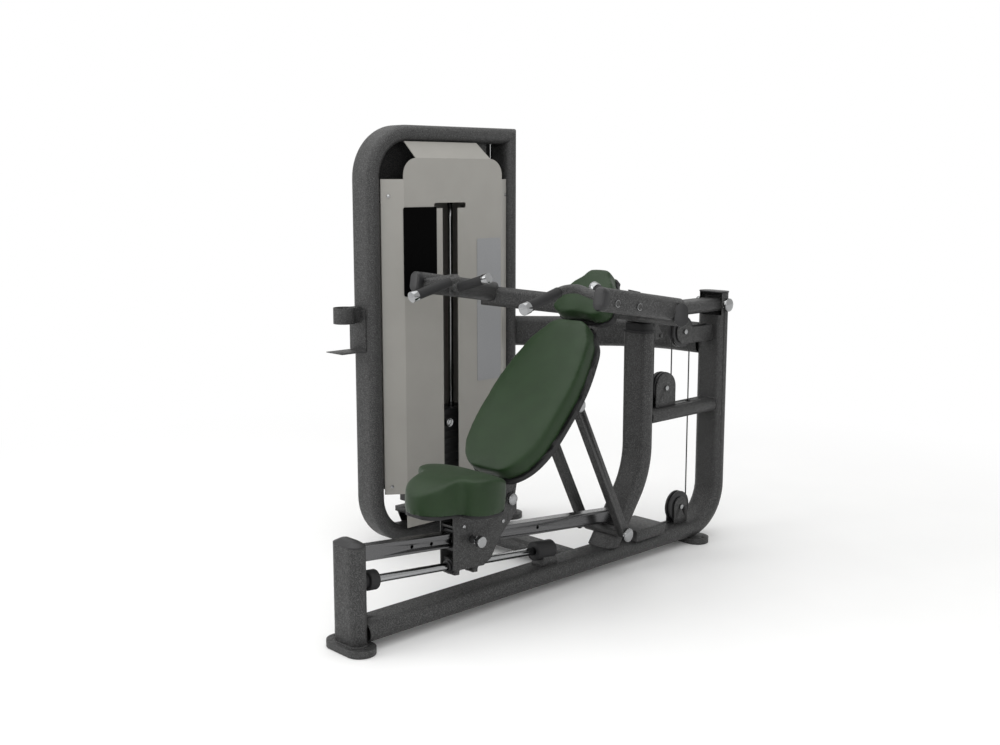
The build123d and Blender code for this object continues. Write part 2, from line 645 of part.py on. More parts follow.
CARRIER_Z = STACK_FLOOR - 40
RETURN_ALONG = 1240.0     # return cable, down between the stack and the rear leg
CLAMP_H = 34.0
with BuildPart() as stack_carrier:
    with BuildSketch(level(CARRIER_Z)):
        with Locations((TOWER_ACROSS, SLOT_ALONG)):
            Rectangle(PLATE_D, PLATE_L + 40)
        with Locations(
            (TOWER_ACROSS, SLOT_ALONG - ROD_SPACING / 2),
            (TOWER_ACROSS, SLOT_ALONG + ROD_SPACING / 2),
        ):
            Circle(ROD_R + FIT, mode=Mode.SUBTRACT)
    extrude(amount=20)
    for across in (-PLATE_D / 2, PLATE_D / 2 - 5):
        with BuildSketch(side(TOWER_ACROSS + across)):
            with BuildLine():
                Polyline(
                    (SLOT_ALONG - PLATE_L / 2 - 20, CARRIER_Z + 20),
                    (SLOT_ALONG - PLATE_L / 2 + 20, LOOP_BOTTOM),
                    (SLOT_ALONG + PLATE_L / 2 - 20, LOOP_BOTTOM),
                    (SLOT_ALONG + PLATE_L / 2 + 20, CARRIER_Z + 20),
                    close=True,
                )
            make_face()
        extrude(amount=5)
    with BuildSketch(level(0)):
        with Locations((TOWER_ACROSS, SLOT_ALONG)):
            Rectangle(PLATE_D - 10, 2 * PLATE_L)
    extrude(amount=CARRIER_Z, mode=Mode.SUBTRACT)
    with BuildSketch(front(TOWER_REAR)):
        with Locations((TOWER_ACROSS, LOOP_BOTTOM)):
            SlotOverall(TUBE_W, TUBE_T)
    extrude(amount=TOWER_REAR - TOWER_FRONT, mode=Mode.SUBTRACT)
    # bar across the legs that holds the upper ends of the rods
    with BuildSketch(level(ROD_TOP - TOP_BAR_T)):
        with Locations((TOWER_ACROSS, FACE_MID)):
            Rectangle(TOP_BAR_W, BRACKET_L)
        with Locations(
            (TOWER_ACROSS, SLOT_ALONG - ROD_SPACING / 2),
            (TOWER_ACROSS, SLOT_ALONG + ROD_SPACING / 2),
        ):
            Circle(ROD_R + FIT, mode=Mode.SUBTRACT)
        with Locations((TOWER_ACROSS, SLOT_ALONG), (TOWER_ACROSS, RETURN_ALONG)):
            Circle(CABLE_R + 2, mode=Mode.SUBTRACT)
    extrude(amount=TOP_BAR_T)
    # clamp on the bottom tube for the end of the return cable
    with BuildSketch(level(LOOP_BOTTOM + TUBE_T / 2)):
        with Locations((TOWER_ACROSS, RETURN_ALONG)):
            Rectangle(30, 30)
            Circle(CABLE_R + FIT, mode=Mode.SUBTRACT)
    extrude(amount=CLAMP_H)
save(stack_carrier, "stack_carrier")

# ======================= pulleys and cables ==============================================
def pulley(across, along, z):
    """Grooved wheel on a cross axle."""
    rim = WRAP_R + PULLEY_RIM
    root = WRAP_R - CABLE_R - FIT
    half = PULLEY_T / 2
    with BuildPart() as wheel:
        with BuildSketch(Plane(origin=spot(across, along, z), x_dir=(1, 0, 0), z_dir=(0, -1, 0))):
            with BuildLine():
                Polyline(
                    (-half, AXLE_R + RUN), (-half, rim), (-CABLE_R - 2, rim), (-CABLE_R - FIT, root),
                    (CABLE_R + FIT, root), (CABLE_R + 2, rim), (half, rim), (half, AXLE_R + RUN),
                    close=True,
                )
            make_face()
        revolve(axis=Axis(spot(across, along, z), (1, 0, 0)))
    return wheel


def cheeks(across, along, z, width, foot):
    """Two plates with rounded ends that hold a pulley, from the height of their foot."""
    with BuildPart() as plates:
        for near in (-CHEEK_GAP / 2 - CHEEK_T, CHEEK_GAP / 2):
            with BuildSketch(side(across + near)):
                with Locations((along, z)):
                    Circle(width / 2)
                with Locations((along, (z + foot) / 2)):
                    Rectangle(width, abs(z - foot))
                with Locations((along, z)):
                    Circle(AXLE_R + FIT, mode=Mode.SUBTRACT)
            extrude(amount=CHEEK_T)
    return plates


def axle_bolt(across, along, z, half):
    """Cross bolt with a round head at each end."""
    with BuildPart() as bolt:
        with BuildSketch(side(across - half)):
            with Locations((along, z)):
                Circle(AXLE_R)
        extrude(amount=2 * half)
        for start in (-half - 5, half):
            with BuildSketch(side(across + start)):
                with Locations((along, z)):
                    Circle(9)
            extrude(amount=5)
    return bolt


TOP_ALONG = REAR_CABLE_ALONG - WRAP_R
BRACE_PULLEY_ALONG = REAR_CABLE_ALONG - 3 * WRAP_R
CHEEK_HALF = CHEEK_GAP / 2 + CHEEK_T
CHEEK_W = 2 * WRAP_R + 8
BRACE_TOP = BRACE_Z + LIGHT_T / 2
STACK_PULLEY_Z = TUBE_UNDER - 94.0
STACK_PULLEY_ALONG = SLOT_ALONG + WRAP_R
RETURN_PULLEY_ALONG = RETURN_ALONG - WRAP_R
BASE_CHEEK_W = 78.0
TOWER_CHEEK_W = 70.0

save(pulley(0, TOP_ALONG, BASE_PULLEY_Z), "base_pulley")
save(pulley(0, BRACE_PULLEY_ALONG, BRACE_PULLEY_Z), "brace_pulley")
save(pulley(0, TOP_ALONG, TOP_PULLEY_Z), "top_pulley")
save(pulley(TOWER_ACROSS, STACK_PULLEY_ALONG, STACK_PULLEY_Z), "front_tower_pulley")
save(pulley(TOWER_ACROSS, RETURN_PULLEY_ALONG, STACK_PULLEY_Z), "rear_tower_pulley")

with BuildPart() as pulley_brackets:
    add(cheeks(0, TOP_ALONG, BASE_PULLEY_Z, BASE_CHEEK_W, BASE_TOP).part)
    add(cheeks(0, BRACE_PULLEY_ALONG, BRACE_PULLEY_Z, CHEEK_W, BRACE_TOP).part)
    add(cheeks(TOWER_ACROSS, STACK_PULLEY_ALONG, STACK_PULLEY_Z, TOWER_CHEEK_W, TUBE_UNDER).part)
    add(cheeks(TOWER_ACROSS, RETURN_PULLEY_ALONG, STACK_PULLEY_Z, TOWER_CHEEK_W, TUBE_UNDER).part)
    for near in (-CHEEK_HALF, CHEEK_GAP / 2):
        with BuildSketch(side(near)):
            with Locations((TOP_ALONG, TOP_PULLEY_Z)):
                Circle(46)
            with Locations(((TOP_ALONG + UPRIGHT_FACE) / 2, TOP_PULLEY_Z - 16)):
                Rectangle(UPRIGHT_FACE - TOP_ALONG, 60)
            with Locations((TOP_ALONG, TOP_PULLEY_Z)):
                Circle(AXLE_R + FIT, mode=Mode.SUBTRACT)
        extrude(amount=CHEEK_T)
save(pulley_brackets, "pulley_brackets")

# screws of the shrouds' slanted sides and the pulleys' axle bolts
SCREW_IN = 22.0           # screws, from the edge of the slanted side, along
with BuildPart() as frame_bolts:
    reach = WING_FOOT + (SHROUD_REACH - WING_FOOT) * SCREW_IN / SHROUD_WING
    lean = math.atan2(SHROUD_REACH - WING_FOOT, SHROUD_WING)
    for along, tip in (
        (TOWER_FRONT + TUBE_T / 2 + FIT + SCREW_IN, 1),
        (TOWER_REAR - TUBE_T / 2 - FIT - SCREW_IN, -1),
    ):
        for height in (WING_TOP - 60, WING_BOTTOM + 30):
            with BuildSketch(Plane(
                origin=spot(TOWER_ACROSS + reach, along, height),
                x_dir=(0, 0, 1),
                z_dir=(math.cos(lean), -tip * math.sin(lean), 0),
            )):
                Circle(6)
            extrude(amount=3.5)
    for across, along, z in (
        (0, TOP_ALONG, BASE_PULLEY_Z),
        (0, BRACE_PULLEY_ALONG, BRACE_PULLEY_Z),
        (0, TOP_ALONG, TOP_PULLEY_Z),
        (TOWER_ACROSS, STACK_PULLEY_ALONG, STACK_PULLEY_Z),
        (TOWER_ACROSS, RETURN_PULLEY_ALONG, STACK_PULLEY_Z),
    ):
        add(axle_bolt(across, along, z, CHEEK_HALF + FIT).part)
save(frame_bolts, "frame_bolts")

# lift cable: box, base pulley, top pulley and round the brace pulley
FRONT_RUN = BRACE_PULLEY_ALONG - WRAP_R
with BuildPart() as lift_cable:
    with BuildLine(side()) as run:
        Line((BOX_REAR - 30, BASE_PULLEY_Z - WRAP_R), (TOP_ALONG, BASE_PULLEY_Z - WRAP_R))
        CenterArc((TOP_ALONG, BASE_PULLEY_Z), WRAP_R, -90, 90)
        Line((REAR_CABLE_ALONG, BASE_PULLEY_Z), (REAR_CABLE_ALONG, TOP_PULLEY_Z))
        CenterArc((TOP_ALONG, TOP_PULLEY_Z), WRAP_R, 0, 180)
        Line((TOP_ALONG - WRAP_R, TOP_PULLEY_Z), (TOP_ALONG - WRAP_R, BRACE_PULLEY_Z))
        CenterArc((BRACE_PULLEY_ALONG, BRACE_PULLEY_Z), WRAP_R, 0, -180)
    with BuildSketch(normal_to(run.line)):
        Circle(CABLE_R)
    sweep()
save(lift_cable, "lift_cable")

ANCHOR_Z = 800.0
with BuildPart() as arm_cable:
    with BuildSketch(level(BRACE_PULLEY_Z)):
        with Locations((0, FRONT_RUN)):
            Circle(CABLE_R)
    extrude(amount=ANCHOR_Z - BRACE_PULLEY_Z - FIT)
save(arm_cable, "arm_cable")

with BuildPart() as stack_cable:
    with BuildSketch(level(HIGH_TOP + 22 + FIT)):
        with Locations((TOWER_ACROSS, SLOT_ALONG)):
            Circle(CABLE_R)
    extrude(amount=STACK_PULLEY_Z - HIGH_TOP - 22 - FIT)
save(stack_cable, "stack_cable")

with BuildPart() as return_cable:
    with BuildLine(side(TOWER_ACROSS)) as run:
        CenterArc((STACK_PULLEY_ALONG, STACK_PULLEY_Z), WRAP_R, 180, -90)
        Line((STACK_PULLEY_ALONG, STACK_PULLEY_Z + WRAP_R), (RETURN_PULLEY_ALONG, STACK_PULLEY_Z + WRAP_R))
        CenterArc((RETURN_PULLEY_ALONG, STACK_PULLEY_Z), WRAP_R, 90, -90)
        Line((RETURN_ALONG, STACK_PULLEY_Z), (RETURN_ALONG, LOOP_BOTTOM + TUBE_T / 2 + 4))
    with BuildSketch(normal_to(run.line)):
        Circle(CABLE_R)
    sweep()
save(return_cable, "return_cable")

# ======================= rail, guide rod and strut pivot =================================
def rail_plane(along, drop=0.0):
    """Plane across the rail, or a rod under it, facing along it towards the rear."""
    lean = math.radians(RAIL_SLOPE)
    return Plane(
        origin=spot(0, along, rail_z(along) - drop),
        x_dir=(1, 0, 0),
        z_dir=(0, math.cos(lean), -math.sin(lean)),
    )


MID_FACE = TUBE_T / 2 + FIT
MID_FOOT_RUN = math.dist((MID_FOOT_ALONG, BASE_Z), (MID_ALONG, MID_KNEE_Z))
MID_COS = (MID_ALONG - MID_FOOT_ALONG) / MID_FOOT_RUN
MID_SIN = (MID_KNEE_Z - BASE_Z) / MID_FOOT_RUN
with BuildPart() as seat_rail:
    with BuildSketch(rail_plane(0)):
        RectangleRounded(RAIL_W, RAIL_H, 3)
        Rectangle(RAIL_W - 2 * RAIL_WALL, RAIL_H - 2 * RAIL_WALL, mode=Mode.SUBTRACT)
    extrude(amount=MID_ALONG)
    with BuildSketch(side(-RAIL_W)):
        for step in (-3, -2, -1, 0, 4):
            with Locations((PIN_ALONG + step * HOLE_PITCH, rail_z(PIN_ALONG + step * HOLE_PITCH))):
                Circle(RAIL_HOLE_R)
    extrude(amount=2 * RAIL_W, mode=Mode.SUBTRACT)
    # ends at the post and at the slanted foot of the middle upright
    with BuildSketch(side(-RAIL_W)):
        with Locations((POST_BACK + FIT - TUBE_W, RAIL_Z0)):
            Rectangle(2 * TUBE_W, 2 * TUBE_W)
        with BuildLine():
            Polyline(
                (MID_FOOT_ALONG - MID_FACE * MID_SIN, BASE_Z + MID_FACE * MID_COS),
                (MID_ALONG - MID_FACE * MID_SIN, MID_KNEE_Z + MID_FACE * MID_COS),
                (MID_ALONG + TUBE_W, MID_KNEE_Z),
                (MID_ALONG + TUBE_W, BASE_Z),
                close=True,
            )
        make_face()
    extrude(amount=2 * RAIL_W, mode=Mode.SUBTRACT)
save(seat_rail, "seat_rail")

ROD_START = POST_BACK + 6
ROD_L = REAR_BLOCK_ALONG - ROD_START
with BuildPart() as guide_rod:
    with BuildSketch(rail_plane(ROD_START, ROD_DROP)):
        Circle(SLIDE_ROD_R)
    extrude(amount=ROD_L)
save(guide_rod, "guide_rod")

# rubber: cushions under the stack are joined here by the stops on the rod
BLOCK_L = 84.0
with rubber_bumpers:
    for start, radius, length in (
        (POST_BACK + 4, 22, 24),
        (POST_BACK + 28, 31, 34),
        (REAR_BLOCK_ALONG - BLOCK_L / 2, 32, BLOCK_L),
    ):
        with BuildSketch(rail_plane(start, ROD_DROP)):
            Circle(radius)
            Circle(SLIDE_ROD_R + FIT, mode=Mode.SUBTRACT)
        extrude(amount=length)
save(rubber_bumpers, "rubber_bumpers")

BLOCK_Z = rail_z(REAR_BLOCK_ALONG) - ROD_DROP
with BuildPart() as rod_block_bracket:
    with BuildSketch(side(-26)):
        with BuildLine():
            Polyline(
                (REAR_BLOCK_ALONG - 24, BASE_TOP), (REAR_BLOCK_ALONG - 14, BLOCK_Z),
                (REAR_BLOCK_ALONG + 34, BLOCK_Z), (REAR_BLOCK_ALONG + 52, BASE_TOP), close=True,
            )
        make_face()
    extrude(amount=52)
    with BuildSketch(rail_plane(REAR_BLOCK_ALONG - BLOCK_L, ROD_DROP)):
        Circle(32 + FIT)
    extrude(amount=2 * BLOCK_L, mode=Mode.SUBTRACT)
save(rod_block_bracket, "rod_block_bracket")

# cross tube that carries the lower ends of the struts
PIVOT_TUBE_R = 18.0
STRUT_INNER = STRUT_SPREAD - STRUT_T / 2
with BuildPart() as strut_pivot_tube:
    with BuildSketch(side(-STRUT_INNER + 1)):
        with Locations((STRUT_FOOT_ALONG, STRUT_FOOT_Z)):
            Circle(PIVOT_TUBE_R)
            Circle(STRUT_BOLT_R + FIT, mode=Mode.SUBTRACT)
    extrude(amount=2 * STRUT_INNER - 2)
    with BuildLine(side()) as run:
        Line((MID_FOOT_ALONG, BASE_Z), (MID_ALONG, MID_KNEE_Z))
    with BuildSketch(normal_to(run.line)):
        SlotOverall(TUBE_W, TUBE_T)
    extrude(amount=MID_KNEE_Z, mode=Mode.SUBTRACT)
save(strut_pivot_tube, "strut_pivot_tube")


def cross_bolt(along, z, radius, half, head_r, head_t):
    """Bolt across the machine with a round head at each end."""
    with BuildPart() as bolt:
        with BuildSketch(side(-half)):
            with Locations((along, z)):
                Circle(radius)
        extrude(amount=2 * half)
        for start in (-half - head_t, half):
            with BuildSketch(side(start)):
                with Locations((along, z)):
                    Circle(head_r)
            extrude(amount=head_t)
    return bolt


STRUT_OUTER = STRUT_SPREAD + STRUT_T / 2
STUD_START = 54.0
with BuildPart() as pivot_bolts:
    add(cross_bolt(UPRIGHT_ALONG, PIVOT_Z, PIVOT_R, TUBE_W / 2 + FIT, 25, 12).part)
    for across, reach, head in (
        (STUD_START, STRUT_OUTER + 1 - STUD_START, STRUT_OUTER + 1),
        (-STRUT_OUTER - 1, STRUT_OUTER + 1 - STUD_START, -STRUT_OUTER - 8),
    ):
        with BuildSketch(side(across)):
            with Locations((STRUT_FOOT_ALONG, STRUT_FOOT_Z)):
                Circle(STRUT_BOLT_R)
        extrude(amount=reach)
        with BuildSketch(side(head)):
            with Locations((STRUT_FOOT_ALONG, STRUT_FOOT_Z)):
                Circle(24)
        extrude(amount=7)
save(pivot_bolts, "pivot_bolts")

# ======================= struts ==========================================================
STRUT_L = math.hypot(STRUT_TOP_ALONG - STRUT_FOOT_ALONG, STRUT_TOP_Z - STRUT_FOOT_Z)
STRUT_LEAN = math.degrees(math.atan2(STRUT_TOP_Z - STRUT_FOOT_Z, STRUT_TOP_ALONG - STRUT_FOOT_ALONG))
with BuildPart() as struts:
    for across in (-STRUT_OUTER, STRUT_INNER):
        with BuildSketch(side(across)):
            with Locations(Location(((STRUT_TOP_ALONG + STRUT_FOOT_ALONG) / 2,
                                     (STRUT_TOP_Z + STRUT_FOOT_Z) / 2), STRUT_LEAN)):
                SlotOverall(STRUT_L + STRUT_T, STRUT_T)
            with Locations((STRUT_TOP_ALONG, STRUT_TOP_Z)):
                Circle(TOP_EYE_R)
                Circle(TOP_STUD_R + TOP_PLAY, mode=Mode.SUBTRACT)
            with Locations((STRUT_FOOT_ALONG, STRUT_FOOT_Z)):
                Circle(STRUT_BOLT_R + RUN, mode=Mode.SUBTRACT)
        extrude(amount=STRUT_T)
save(struts, "struts")

# ======================= seat carriage ===================================================
PLATE_IN = CARRIAGE_W / 2 - CARRIAGE_SHEET
BUSH_R = 24.0
PULL_R = 5.0
PULL_Z = rail_z(PIN_ALONG)
SEAT_FALL = math.tan(math.radians(SEAT_TILT))


def seat_z(along):
    """Height of the carriage, just under the seat board."""
    return SEAT_UNDER_Z - SEAT_BOARD_T - FIT - SEAT_FALL * (along - SEAT_REF)


CARRIAGE_BACK = HINGE_ALONG - 28.0
with BuildPart() as seat_carriage:
    for across in (-CARRIAGE_W / 2, PLATE_IN):
        with BuildSketch(side(across)):
            with BuildLine():
                Polyline(
                    (CARRIAGE_FRONT, 160), (CARRIAGE_FRONT, seat_z(CARRIAGE_FRONT)),
                    (CARRIAGE_BACK, seat_z(CARRIAGE_BACK)), (HINGE_ALONG, HINGE_Z + HINGE_EYE_R),
                    (HINGE_ALONG + HINGE_EYE_R, HINGE_Z), (HINGE_ALONG + HINGE_EYE_R, 300),
                    (HINGE_ALONG, 283), (HINGE_ALONG - 51, 234), (HINGE_ALONG - 95, 168),
                    (CARRIAGE_FRONT + 128, 152),
                    close=True,
                )
            make_face()
            with Locations((HINGE_ALONG, HINGE_Z)):
                Circle(HINGE_EYE_R)
                Circle(HINGE_BOLT_R + FIT, mode=Mode.SUBTRACT)
        extrude(amount=CARRIAGE_SHEET)
    # web over the rail
    with BuildSketch(side(-PLATE_IN)):
        with BuildLine():
            Polyline(
                (CARRIAGE_FRONT + 4, rail_z(CARRIAGE_FRONT) + RAIL_H / 2 + 16),
                (CARRIAGE_FRONT + 4, rail_z(CARRIAGE_FRONT) + RAIL_H / 2 + 24),
                (CARRIAGE_BACK - 30, rail_z(CARRIAGE_BACK - 30) + RAIL_H / 2 + 24),
                (CARRIAGE_BACK - 30, rail_z(CARRIAGE_BACK - 30) + RAIL_H / 2 + 16),
                close=True,
            )
        make_face()
    extrude(amount=2 * PLATE_IN)
    # blocks that hold the rod bushes
    for along in (CARRIAGE_FRONT + 10, CARRIAGE_FRONT + 88):
        with BuildSketch(rail_plane(along, ROD_DROP)):
            Rectangle(2 * PLATE_IN, 50)
            Circle(BUSH_R + FIT, mode=Mode.SUBTRACT)
        extrude(amount=20)
    with BuildSketch(side(RAIL_W / 2)):
        with Locations((PIN_ALONG, PULL_Z)):
            Circle(PULL_R + FIT)
    extrude(amount=CARRIAGE_W, mode=Mode.SUBTRACT)
save(seat_carriage, "seat_carriage")


GLIDE_L = 205.0
with BuildPart() as carriage_glides:
    with BuildSketch(rail_plane(CARRIAGE_FRONT + 6)):
        Rectangle(2 * PLATE_IN - 2 * FIT, RAIL_H + 20)
        Rectangle(RAIL_W + 2 * FIT, RAIL_H + 2 * FIT, mode=Mode.SUBTRACT)
    extrude(amount=GLIDE_L)
    with BuildSketch(side(RAIL_W / 2)):
        with Locations((PIN_ALONG, PULL_Z)):
            Circle(PULL_R + FIT)
    extrude(amount=CARRIAGE_W, mode=Mode.SUBTRACT)
    for along in (CARRIAGE_FRONT + 4, CARRIAGE_FRONT + 82):
        with BuildSketch(rail_plane(along, ROD_DROP)):
            Circle(BUSH_R)
            Circle(SLIDE_ROD_R + RUN, mode=Mode.SUBTRACT)
        extrude(amount=36)
    with BuildSketch(rail_plane(CARRIAGE_FRONT - 4, ROD_DROP)):
        Circle(19)
        Circle(SLIDE_ROD_R + RUN, mode=Mode.SUBTRACT)
    extrude(amount=8)
save(carriage_glides, "carriage_glides")

BARREL_L = 20.0
with BuildPart() as carriage_fittings:
    add(cross_bolt(HINGE_ALONG, HINGE_Z, HINGE_BOLT_R, CARRIAGE_W / 2 + FIT, 19, 7).part)
    for along, height in ((CARRIAGE_FRONT + 42, 297), (HINGE_ALONG - 41, 282)):
        with BuildSketch(side(CARRIAGE_W / 2)):
            with Locations((along, height)):
                Circle(6)
        extrude(amount=3)
    with BuildSketch(side(CARRIAGE_W / 2)):
        with Locations((PIN_ALONG, PULL_Z)):
            Circle(12)
            Circle(PULL_R + RUN, mode=Mode.SUBTRACT)
    extrude(amount=BARREL_L)
save(carriage_fittings, "carriage_fittings")

# the pin stands drawn out, its tip just clear of the rail, and pushes in to lock the seat
PIN_GAP = 16.0            # neck between the barrel and the knob
BARREL_END = CARRIAGE_W / 2 + BARREL_L
with BuildPart() as pull_pin:
    with BuildSketch(side(RAIL_W / 2 + FIT)):
        with Locations((PIN_ALONG, PULL_Z)):
            Circle(PULL_R)
    extrude(amount=BARREL_END + PIN_GAP - RAIL_W / 2)
    with BuildSketch(side(BARREL_END + PIN_GAP)):
        with Locations((PIN_ALONG, PULL_Z)):
            Circle(19)
    extrude(amount=16)
    fillet(pull_pin.edges().filter_by(GeomType.CIRCLE).group_by(Axis.X)[-1], 4)
save(pull_pin, "pull_pin")

# ======================= seat ============================================================
def seat_plane(lift):
    """Plane parallel to the underside of the seat, lift above it."""
    return tilted(SEAT_REF, SEAT_UNDER_Z, SEAT_TILT).offset(lift)


def seat_outline(shrink):
    """Round nose, wide shoulders and a rear that draws in."""
    front_end = SEAT_FRONT - SEAT_REF + shrink
    shoulder = SEAT_SHOULDER - SEAT_REF + shrink
    back_end = SEAT_BACK - SEAT_REF - shrink
    nose = SEAT_NOSE_HALF - shrink
    half = SEAT_HALF - shrink
    with BuildSketch() as outline:
        with BuildLine():
            half_line = Spline(
                (0, front_end), (nose * 0.42, front_end + 9), (nose * 0.74, front_end + 32),
                (nose * 0.94, front_end + 66), (nose, shoulder - 22), (nose + 9, shoulder - 1),
                (nose + 28, shoulder + 8), (half - 13, shoulder + 25), (half - 1, shoulder + 52),
                (half, back_end - 116), (half - 5, back_end - 76), (half - 19, back_end - 46),
                (half * 0.72, back_end - 18), (half * 0.46, back_end - 4), (0, back_end),
                tangents=((1, 0), (-1, 0)),
            )
            mirror(half_line, about=Plane.YZ)
        make_face()
    return outline.sketch


with BuildPart() as seat_board:
    with BuildSketch(seat_plane(-SEAT_BOARD_T)):
        with Locations((0, (SEAT_SHOULDER + SEAT_BACK) / 2 - SEAT_REF)):
            RectangleRounded(2 * (SEAT_HALF - BOARD_IN), SEAT_BACK - SEAT_SHOULDER - 2 * BOARD_IN, 50)
        with Locations((0, (SEAT_FRONT - SEAT_REF) / 2)):
            RectangleRounded(2 * (SEAT_NOSE_HALF - BOARD_IN), SEAT_REF - SEAT_FRONT - 2 * BOARD_IN, 50)
    extrude(amount=SEAT_BOARD_T)
save(seat_board, "seat_board")

# the top is highest over the shoulders and drops to the nose
with BuildPart() as seat_cushion:
    with BuildSketch(seat_plane(FIT)):
        add(seat_outline(4))
    extrude(amount=2 * SEAT_CREST)
    with BuildSketch(side(-SEAT_HALF - 10)):
        with BuildLine():
            crest = ThreePointArc(
                (SEAT_FRONT - 10, SEAT_UNDER_Z + SEAT_CREST - 50),
                (SEAT_SHOULDER + 32, SEAT_UNDER_Z + SEAT_CREST),
                (SEAT_BACK + 20, SEAT_UNDER_Z + SEAT_CREST - 38),
            )
            Polyline(crest @ 1, (SEAT_BACK + 20, SEAT_UNDER_Z - 60),
                     (SEAT_FRONT - 10, SEAT_UNDER_Z - 60), crest @ 0)
        make_face()
    extrude(amount=2 * SEAT_HALF + 20, mode=Mode.INTERSECT)
save(seat_cushion, "seat_cushion")

# ======================= backrest ========================================================
BACK_LEAN = math.radians(BACK_ANGLE)


def back_plane(depth):
    """Plane of the backrest, depth behind the pads' face; local y climbs from the hinge."""
    facing = (0, -math.sin(BACK_LEAN), math.cos(BACK_LEAN))
    return Plane(
        origin=spot(0, HINGE_ALONG + (PAD_FACE - depth) * facing[1],
                    HINGE_Z + (PAD_FACE - depth) * facing[2]),
        x_dir=(1, 0, 0),
        z_dir=facing,
    )


PAD_BOTTOM = 13.0         # ends of the pads, climbing from the hinge
PAD_TOP = 636.0
PAD_HALF = 183.0
PAD_TOP_HALF = 88.0
HEAD_BOTTOM = 651.0
HEAD_TOP = 850.0
HEAD_HALF = 128.0


def back_outline(shrink):
    """Egg outline, widest in its lower middle and narrow at the top."""
    low = PAD_BOTTOM + shrink
    high = PAD_TOP - shrink
    half = PAD_HALF - shrink
    top = PAD_TOP_HALF - shrink
    with BuildSketch() as outline:
        with BuildLine():
            right = Spline(
                (0, low), (half * 0.44, low + 5), (half * 0.72, low + 42), (half * 0.91, low + 104),
                (half, low + 240), (half * 0.985, low + 355), (half * 0.91, low + 433),
                (half * 0.82, low + 493), (half * 0.69, low + 547), (top + 14, high - 36),
                (top - 6, high - 12), (top - 44, high - 1), (0, high),
                tangents=((1, 0), (-1, 0)),
            )
            mirror(right, about=Plane.YZ)
        make_face()
    return outline.sketch


def head_outline(shrink):
    """Head pad, wide at its foot and rounded at the top."""
    low = HEAD_BOTTOM + shrink
    high = HEAD_TOP - shrink
    half = HEAD_HALF - shrink
    with BuildSketch() as outline:
        with BuildLine():
            right = Spline(
                (0, low), (half * 0.8, low + 3), (half * 0.97, low + 20), (half * 0.96, low + 44),
                (half * 0.88, low + 95), (half * 0.72, high - 59), (half * 0.46, high - 24),
                (0, high),
                tangents=((1, 0), (-1, 0)),
            )
            mirror(right, about=Plane.YZ)
        make_face()
    return outline.sketch


with BuildPart() as back_boards:
    for outline in (back_outline, head_outline):
        with BuildSketch(back_plane(PAD_T + BOARD_T + FIT)):
            add(outline(4))
        extrude(amount=BOARD_T)
save(back_boards, "back_boards")

with BuildPart() as back_cushion:
    with BuildSketch(back_plane(PAD_T)):
        add(back_outline(4))
    extrude(amount=PAD_T)
save(back_cushion, "back_cushion")

with BuildPart() as head_cushion:
    with BuildSketch(back_plane(PAD_T)):
        add(head_outline(4))
    extrude(amount=PAD_T)
save(head_cushion, "head_cushion")

BEAM_DEPTH = PAD_T + BOARD_T + 2 * FIT
BEAM_FOOT = 34.0
LUG_T = 8.0
LUG_OUT = PLATE_IN - FIT
TOP_BAR_HALF = STRUT_INNER - 1
with BuildPart() as backrest_frame:
    with BuildSketch(back_plane(BEAM_DEPTH + BEAM_T)):
        with Locations((0, (BEAM_FOOT + HEAD_TOP - 60) / 2)):
            Rectangle(BEAM_T, HEAD_TOP - 60 - BEAM_FOOT)
    extrude(amount=BEAM_T)
    # lugs down to the hinge
    for across in (-LUG_OUT, LUG_OUT - LUG_T):
        with BuildSketch(side(across)):
            with Locations((HINGE_ALONG, HINGE_Z)):
                Circle(HINGE_EYE_R - 2)
            with Locations(Location((HINGE_ALONG, HINGE_Z), BACK_ANGLE)):
                Polygon(
                    (0, -HINGE_EYE_R + 2), (92, PAD_FACE - BEAM_DEPTH - BEAM_T),
                    (92, PAD_FACE - BEAM_DEPTH - 6), (BEAM_FOOT - 22, PAD_FACE - BEAM_DEPTH - 6),
                    (-HINGE_EYE_R + 4, 4), align=None,
                )
            with Locations((HINGE_ALONG, HINGE_Z)):
                Circle(HINGE_BOLT_R + RUN, mode=Mode.SUBTRACT)
        extrude(amount=LUG_T)
    # cross bar for the strut tops, on a block under the beam
    with BuildSketch(side(-TOP_BAR_HALF)):
        with Locations((STRUT_TOP_ALONG, STRUT_TOP_Z)):
            Circle(17)
    extrude(amount=2 * TOP_BAR_HALF)
    with BuildSketch(side(-BEAM_T / 2)):
        with Locations(Location((STRUT_TOP_ALONG, STRUT_TOP_Z), BACK_ANGLE)):
            with Locations((0, 20)):
                Rectangle(60, 40)
    extrude(amount=BEAM_T)
    with BuildSketch(side(-TOP_BAR_HALF)):
        with Locations((STRUT_TOP_ALONG, STRUT_TOP_Z)):
            Circle(TOP_STUD_R + FIT)
    extrude(amount=2 * TOP_BAR_HALF, mode=Mode.SUBTRACT)
    # straps that hold the two boards
    for climb in (150.0, 520.0, 740.0):
        with BuildSketch(back_plane(BEAM_DEPTH + 5)):
            with Locations((0, climb)):
                Rectangle(130, 40)
        extrude(amount=5)
save(backrest_frame, "backrest_frame")

save(cross_bolt(STRUT_TOP_ALONG, STRUT_TOP_Z, TOP_STUD_R, STRUT_OUTER + 0.6, 21, 6), "strut_top_bolt")

# ======================= press arm =======================================================
BOOM_END = UPRIGHT_ALONG - 16.0
YOKE_CORNERS = (
    spot(-YOKE_END_ACROSS, YOKE_END_ALONG, YOKE_END_Z),
    spot(0, YOKE_CORNER, PIVOT_Z),
    spot(YOKE_END_ACROSS, YOKE_END_ALONG, YOKE_END_Z),
)
YOKE_BEND_R = 140.0


